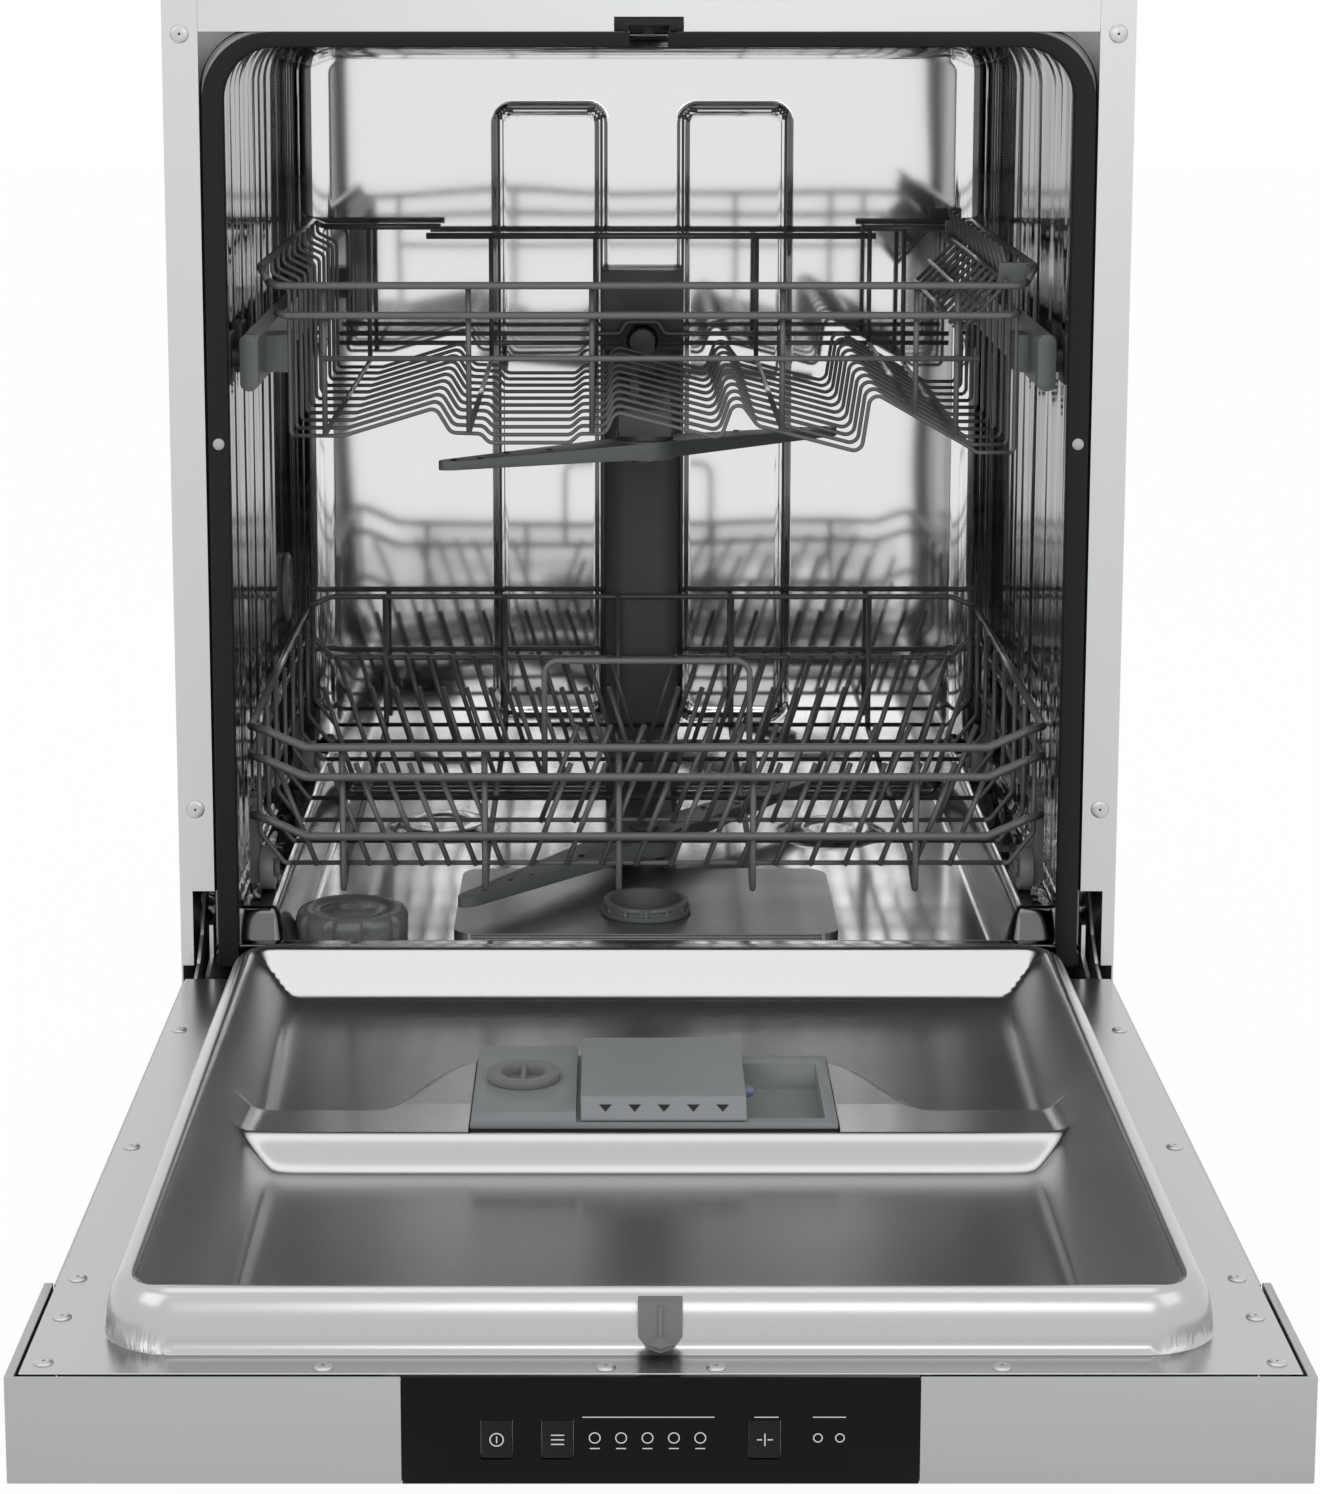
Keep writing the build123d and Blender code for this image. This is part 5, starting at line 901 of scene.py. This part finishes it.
def spray_arm(name, node):
    """A copy of a solid arm with a narrowed blade; gives the places of its nozzles."""
    source = nodes[node]
    mesh = source.data.copy()
    mesh.name = name
    places = np.array([source.matrix_world @ vertex.co for vertex in mesh.vertices]) / MM
    low, high = places.min(axis=0), places.max(axis=0)
    hub = (low + high)[:2] / 2
    flat = places[:, :2] - hub
    _, _, axes = np.linalg.svd(flat - flat.mean(axis=0), full_matrices=False)
    along, across = flat @ axes[0], flat @ axes[1]
    across = across * blade(along)
    level = (low[2] + high[2]) / 2
    places[:, 2] = level + (places[:, 2] - level) * blade(along)
    places[:, :2] = hub + np.outer(along, axes[0]) + np.outer(across, axes[1])
    for vertex, place in zip(mesh.vertices, places):
        vertex.co = Vector(place) * MM
    mesh.materials.clear()
    piece = finish_piece(name, mesh, arm_plastic, node, (node,))
    weld(piece)
    soften(piece, ARM_EDGE, 3, harden=False)
    spots = []
    for reach, shift in NOZZLES:
        spot = hub + axes[0] * reach + axes[1] * shift
        top = level + (high[2] - level) * blade(reach)
        spots.append((spot[0], spot[1] - front_plane, top - 0.3))
    return spots


for arm in ("lower", "upper"):
    node = f"{arm}_spray_arm"
    spots = spray_arm(f"{arm}_arm_blade", node)
    nozzle = lathe([(2.3, 0), (2.3, 0.5), (1.2, 0.6)], 16)
    scatter(
        f"{arm}_arm_nozzles", nozzle, spots, FLAT, (black_plastic,), node
    )

# %% [markdown]
# The door's catch is a small moulded arrow on the ridge: a shield with a raised spine that
# spreads into a point, which the latch in the frame grips. Thin rubber strips edge the
# dispenser, and a small blue knob marks its lid.

# %% Door catch and dispenser seal
CATCH_BACK, CATCH_FACE, CATCH_CREST = -602.0, -609.6, -613.6


def raised(outline, low, high, top=1.0):
    """A flat outline in x and z raised from one y to another, its top drawn in."""
    mid_x = sum(px for px, _ in outline) / len(outline)
    mid_z = sum(pz for _, pz in outline) / len(outline)
    crest = [(mid_x + (px - mid_x) * top, mid_z + (pz - mid_z) * top) for px, pz in outline]
    return bridged(
        [at(px, low, pz) for px, pz in outline], [at(px, high, pz) for px, pz in crest]
    )


shield = [
    (-10.2, 233.8), (10.2, 233.8), (10.2, 217), (6.2, 211.5), (0, 209.2), (-6.2, 211.5),
    (-10.2, 217),
]
spine = [(-0.9, 232.0), (0.9, 232.0), (0.9, 216.0), (-0.9, 216.0)]
arrowhead = [(-1.2, 217.6), (1.2, 217.6), (7.6, 213.2), (0, 209.6), (-7.6, 213.2)]
catch_shapes = [
    raised(shield, CATCH_BACK, CATCH_FACE),
    raised(spine, CATCH_FACE + 0.3, CATCH_FACE - 0.8),
    raised(arrowhead, CATCH_FACE + 0.3, CATCH_CREST, 0.3),
]
joined("catch_arrow", catch_shapes, clip_plastic, "door", ("latch_catch",))
STRIP_Z = (211.2, 213.0)
strips = (
    ((-100.6, 101.2), (-323.4, -322.0)),
    ((-100.6, -99.4), (-323.4, -208)),
    ((100.4, 101.6), (-323.4, -208)),
)
seal = [
    prism([(y0, STRIP_Z[0]), (y0, STRIP_Z[1]), (y1, STRIP_Z[1]), (y1, STRIP_Z[0])], *x_span)
    for x_span, (y0, y1) in strips
]
joined("dispenser_seal", seal, rubber, "door")
knob = lathe([(3.6, 0), (4.2, 1.0), (4.2, 3.0), (3.2, 4.4), (1.2, 4.9)])
knob_place = (52.6, -279, 217.2)
scatter(
    "lid_knob", knob, [knob_place], FLAT, (blue_plastic,), "dispenser_lid"
)

# %% [markdown]
# The rubber seal runs round the mouth and stops on either side of the latch, where the catch
# passes. The solid seal is whole there, so a copy of it is cut on two planes and closed again.

# %% Seal with a gap at the latch
GAP_HALF, GAP_ABOVE = 11.6, 700.0
seal_mesh = nodes["tub_gasket"].data.copy()
seal_mesh.name = "door_seal"
seal_mesh.transform(nodes["tub_gasket"].matrix_world)
seal_mesh.materials.clear()
cutter = bmesh.new()
cutter.from_mesh(seal_mesh)
bmesh.ops.remove_doubles(cutter, verts=cutter.verts, dist=1e-6)
for side in (-1, 1):
    bmesh.ops.bisect_plane(
        cutter, geom=[*cutter.verts, *cutter.edges, *cutter.faces],
        plane_co=(side * GAP_HALF * MM, 0, 0), plane_no=(1, 0, 0), dist=1e-7,
    )
gap = [
    face for face in cutter.faces
    if abs(face.calc_center_median().x) < GAP_HALF * MM
    and face.calc_center_median().z > GAP_ABOVE * MM
]
bmesh.ops.delete(cutter, geom=gap, context="FACES")
bmesh.ops.holes_fill(cutter, edges=[edge for edge in cutter.edges if edge.is_boundary])
bmesh.ops.recalc_face_normals(cutter, faces=cutter.faces)
cutter.to_mesh(seal_mesh)
cutter.free()
for face in seal_mesh.polygons:
    face.use_smooth = True
door_seal = finish_piece(
    "door_seal", seal_mesh, rubber, "cabinet", ("tub_gasket",)
)
soften(door_seal, EDGE["tub_gasket"])

# %% [markdown]
# A round vent in the tub's left wall lets steam out, and two small studs hold the seal. All
# three are turned shapes laid on their side.

# %% Wall vent and seal studs
LEFT_WALL = Matrix.Rotation(math.pi / 2, 3, "Y")
vent = lathe(
    [(26, 0), (26, 2.2), (24, 3.6), (20.5, 4.0), (19.5, 2.4), (6, 2.4), (5, 3.6), (1, 4.0)], 48
)
vent_place = (-TUB_HALF, 400, 377)
scatter("wall_vent", vent, [vent_place], LEFT_WALL, (clip_plastic,), "cabinet")
stud = lathe([(3.6, 0), (3.6, 1.85), (0.6, 1.9)])
stud_places = [(s * 267.5, -1.0, 543) for s in (-1, 1)]
scatter("seal_studs", stud, stud_places, FACING, (pale_plastic,), "cabinet")

# %% [markdown]
# Two balance springs hold the door. Each is close-wound round wire, so it is swept as a helix
# with a straight hook at either end.

# %% Balance springs
SPRING_X, SPRING_FROM, SPRING_TO = 286.4, (52.9, 237.4), (293.8, 127.3)
COIL_R, COIL_WIRE, COIL_TURNS, COIL_STEPS = 6.0, 0.95, 76, 14
WIRE_SIDES, HOOK = 6, 0.04


def coil(side):
    """One spring as a ring of wire carried along a helix."""
    start = Vector((side * SPRING_X, *SPRING_FROM))
    end = Vector((side * SPRING_X, *SPRING_TO))
    along = (end - start).normalized()
    up = Vector((1, 0, 0)).cross(along)
    centres = [start]
    total = COIL_TURNS * COIL_STEPS
    for step in range(total + 1):
        angle = 2 * math.pi * step / COIL_STEPS
        middle = start + (end - start) * (HOOK + (1 - 2 * HOOK) * step / total)
        spoke = math.cos(angle) * Vector((1, 0, 0)) + math.sin(angle) * up
        centres.append(middle + COIL_R * spoke)
    centres.append(end)
    shaper = bmesh.new()
    rings = []
    for number, centre in enumerate(centres):
        ahead = centres[min(number + 1, len(centres) - 1)] - centres[max(number - 1, 0)]
        across = ahead.cross(along).normalized() if ahead.cross(along).length > 1e-6 else up
        other = ahead.normalized().cross(across)
        ring = []
        for corner in range(WIRE_SIDES):
            angle = corner * 2 * math.pi / WIRE_SIDES
            offset = COIL_WIRE * (math.cos(angle) * across + math.sin(angle) * other)
            ring.append(shaper.verts.new(at(*(centre + offset))))
        rings.append(ring)
    skin(shaper, rings)
    bmesh.ops.recalc_face_normals(shaper, faces=shaper.faces)
    return shaper


joined("spring_coils", [coil(-1), coil(1)], zinc, "cabinet", ("door_springs",))

# %% [markdown]
# Felt mats deaden the sound of the tub's sheet. Each is a soft slab, drawn as a grid that
# swells a little between its glued edges.

# %% Insulation mats
MAT_NEAR, MAT_FAR = (30.0, 60.0), 486.0
MAT_THIN, MAT_SWELL, MAT_GLUED, MAT_GRID = 4.0, 3.6, 0.05, 24
MAT_SIDE_X, MAT_TOP_Z = 269.5, 795.0


def slab(across, along, place):
    """A soft slab: two grids, the outer one swollen, joined round the edge."""
    last = MAT_GRID - 1
    u, v = np.meshgrid(np.linspace(0, 1, MAT_GRID), np.linspace(0, 1, MAT_GRID))
    edge_near = np.minimum(np.minimum(u, 1 - u), np.minimum(v, 1 - v))
    swell = np.sqrt(np.clip(edge_near / MAT_GLUED, 0, 1))
    first = across[0] + (across[1] - across[0]) * u
    second = along[0] + (along[1] - along[0]) * v
    shaper = bmesh.new()
    layers = []
    for level in (0 * swell, MAT_THIN + MAT_SWELL * swell):
        rows = [
            [shaper.verts.new(at(*place(*values))) for values in zip(*lines)]
            for lines in zip(first, second, level)
        ]
        layers.append(rows)
        for i in range(last):
            for j in range(last):
                shaper.faces.new((rows[i][j], rows[i][j + 1], rows[i + 1][j + 1], rows[i + 1][j]))
    rim = [(0, j) for j in range(last)] + [(i, last) for i in range(last)]
    rim += [(last, j) for j in range(last, 0, -1)] + [(i, 0) for i in range(last, 0, -1)]
    for (i, j), (k, m) in zip(rim, rim[1:] + rim[:1]):
        shaper.faces.new((layers[0][i][j], layers[0][k][m], layers[1][k][m], layers[1][i][j]))
    bmesh.ops.recalc_face_normals(shaper, faces=shaper.faces)
    for face in shaper.faces:
        face.smooth = True
    return shaper


def side_place(side):
    """Where a point of a side mat lies: depth, height and lift from the tub's wall."""
    return lambda y, z, lift: (side * (MAT_SIDE_X + lift), y, z)


mats = [slab((MAT_NEAR[0], MAT_FAR), (260, 757.5), side_place(side)) for side in (-1, 1)]
mats.append(
    slab((-236, 236), (MAT_NEAR[1], MAT_FAR), lambda x, y, lift: (x, y, MAT_TOP_Z + lift))
)
joined("felt_mats", mats, mat_felt, "cabinet", ("insulation_mats",))

# %% [markdown]
# The control strip carries only plain marks: a ring with a stroke on the first button, bars on
# the second, a cross on the third, a thin rule, and rows of small rings. They are thin solids
# and not a picture, so they stay sharp and are part of the exported mesh.

# %% Marks on the control strip
NEAR_FACE = -628.0
MARK_DEPTH = 0.12
RULE_Z, RING_Z, TICK_Z, BUTTON_Z = 186.5, 176.5, 171.4, 175.6
RULE_LINE, RING_LINE, BUTTON_LINE = 0.45, 0.5, 0.55
RING_STEPS = 36


def mark_bar(x_mid, z_mid, width, tall):
    """A thin printed bar on the near face."""
    shaper = bmesh.new()
    bmesh.ops.create_cube(shaper, size=1.0)
    bmesh.ops.scale(shaper, vec=(width * MM, MARK_DEPTH * MM, tall * MM), verts=shaper.verts)
    bmesh.ops.translate(shaper, vec=at(x_mid, NEAR_FACE, z_mid), verts=shaper.verts)
    return shaper


def mark_ring(x_mid, z_mid, radius, line):
    """A thin printed ring."""
    profile = [(radius - line, 0), (radius, 0), (radius, MARK_DEPTH), (radius - line, MARK_DEPTH)]
    shaper = bmesh.new()
    rings = []
    turns = [2 * math.pi * step / RING_STEPS for step in range(RING_STEPS)]
    for reach, level in profile:
        near = NEAR_FACE + MARK_DEPTH / 2 - level
        rings.append([
            shaper.verts.new(
                at(x_mid + reach * math.cos(turn), near, z_mid + reach * math.sin(turn))
            )
            for turn in turns
        ])
    skin(shaper, rings, True)
    for face in shaper.faces:
        face.smooth = False
    bmesh.ops.recalc_face_normals(shaper, faces=shaper.faces)
    return shaper


strip_marks = [
    mark_bar(px, RULE_Z, width, RULE_LINE) for px, width in ((-5.6, 60), (48, 11), (76.6, 15))
]
for px in (-30, -18, -6, 6, 18):
    strip_marks += [mark_ring(px, RING_Z, 2.7, RING_LINE), mark_bar(px, TICK_Z, 4.5, RING_LINE)]
strip_marks += [mark_ring(px, RING_Z, 2.2, RING_LINE) for px in (71.5, 81.5)]
power_mark = [
    mark_ring(-74.6, BUTTON_Z, 3.3, BUTTON_LINE), mark_bar(-74.6, BUTTON_Z, BUTTON_LINE, 3.2),
]
programme_mark = [mark_bar(-46.9, BUTTON_Z + dz, 6, BUTTON_LINE) for dz in (-2.2, 0, 2.2)]
half_mark = [mark_bar(47.4, BUTTON_Z, BUTTON_LINE, 6)]
half_mark += [mark_bar(px, BUTTON_Z, 2.4, BUTTON_LINE) for px in (45, 49.8)]
for name, shapes, body in (
    ("strip_marks", strip_marks, "door"),
    ("power_mark", power_mark, "button_power"),
    ("programme_mark", programme_mark, "button_programme"),
    ("half_mark", half_mark, "button_half_load"),
):
    joined(name, shapes, mark_ink, body)

# %% [markdown]
# The machine stands on a plain pale floor, which only takes its soft shadow. Its material adds
# its own white for the rays that show it, and never lights the machine with it.

# %% Floor
FLOOR_HALF, PLAIN_WHITE, WHITE_STRENGTH = 12.0, 0.9, 1.04
floor_mesh = bpy.data.meshes.new("studio_floor")
turns = ((-1, -1), (1, -1), (1, 1), (-1, 1))
floor_corners = [(sx * FLOOR_HALF, sy * FLOOR_HALF, 0) for sx, sy in turns]
floor_mesh.from_pydata(floor_corners, [], [(0, 1, 2, 3)])
floor_finish = Finish("studio_floor", base_color=(0.88, 0.88, 0.88), roughness=0.8)
white = floor_finish.node(
    "ShaderNodeEmission", {}, {"Color": (1, 1, 1, 1), "Strength": WHITE_STRENGTH}
)
lit = Wire(floor_finish, floor_finish.shader.outputs[0])
camera_ray, glossy_ray, clear_ray = floor_finish.seen_rays()
plain = (camera_ray + glossy_ray + clear_ray) * PLAIN_WHITE
shown = floor_finish.node("ShaderNodeMixShader", {}, {0: plain, 1: lit, 2: white})
floor_finish.tree.links.new(
    shown.socket, floor_finish.tree.nodes["Material Output"].inputs["Surface"]
)
floor_mesh.materials.append(floor_finish.material)
studio_floor = bpy.data.objects.new("studio_floor", floor_mesh)
bpy.context.scene.collection.objects.link(studio_floor)
print("floor", 2 * FLOOR_HALF, "m wide")
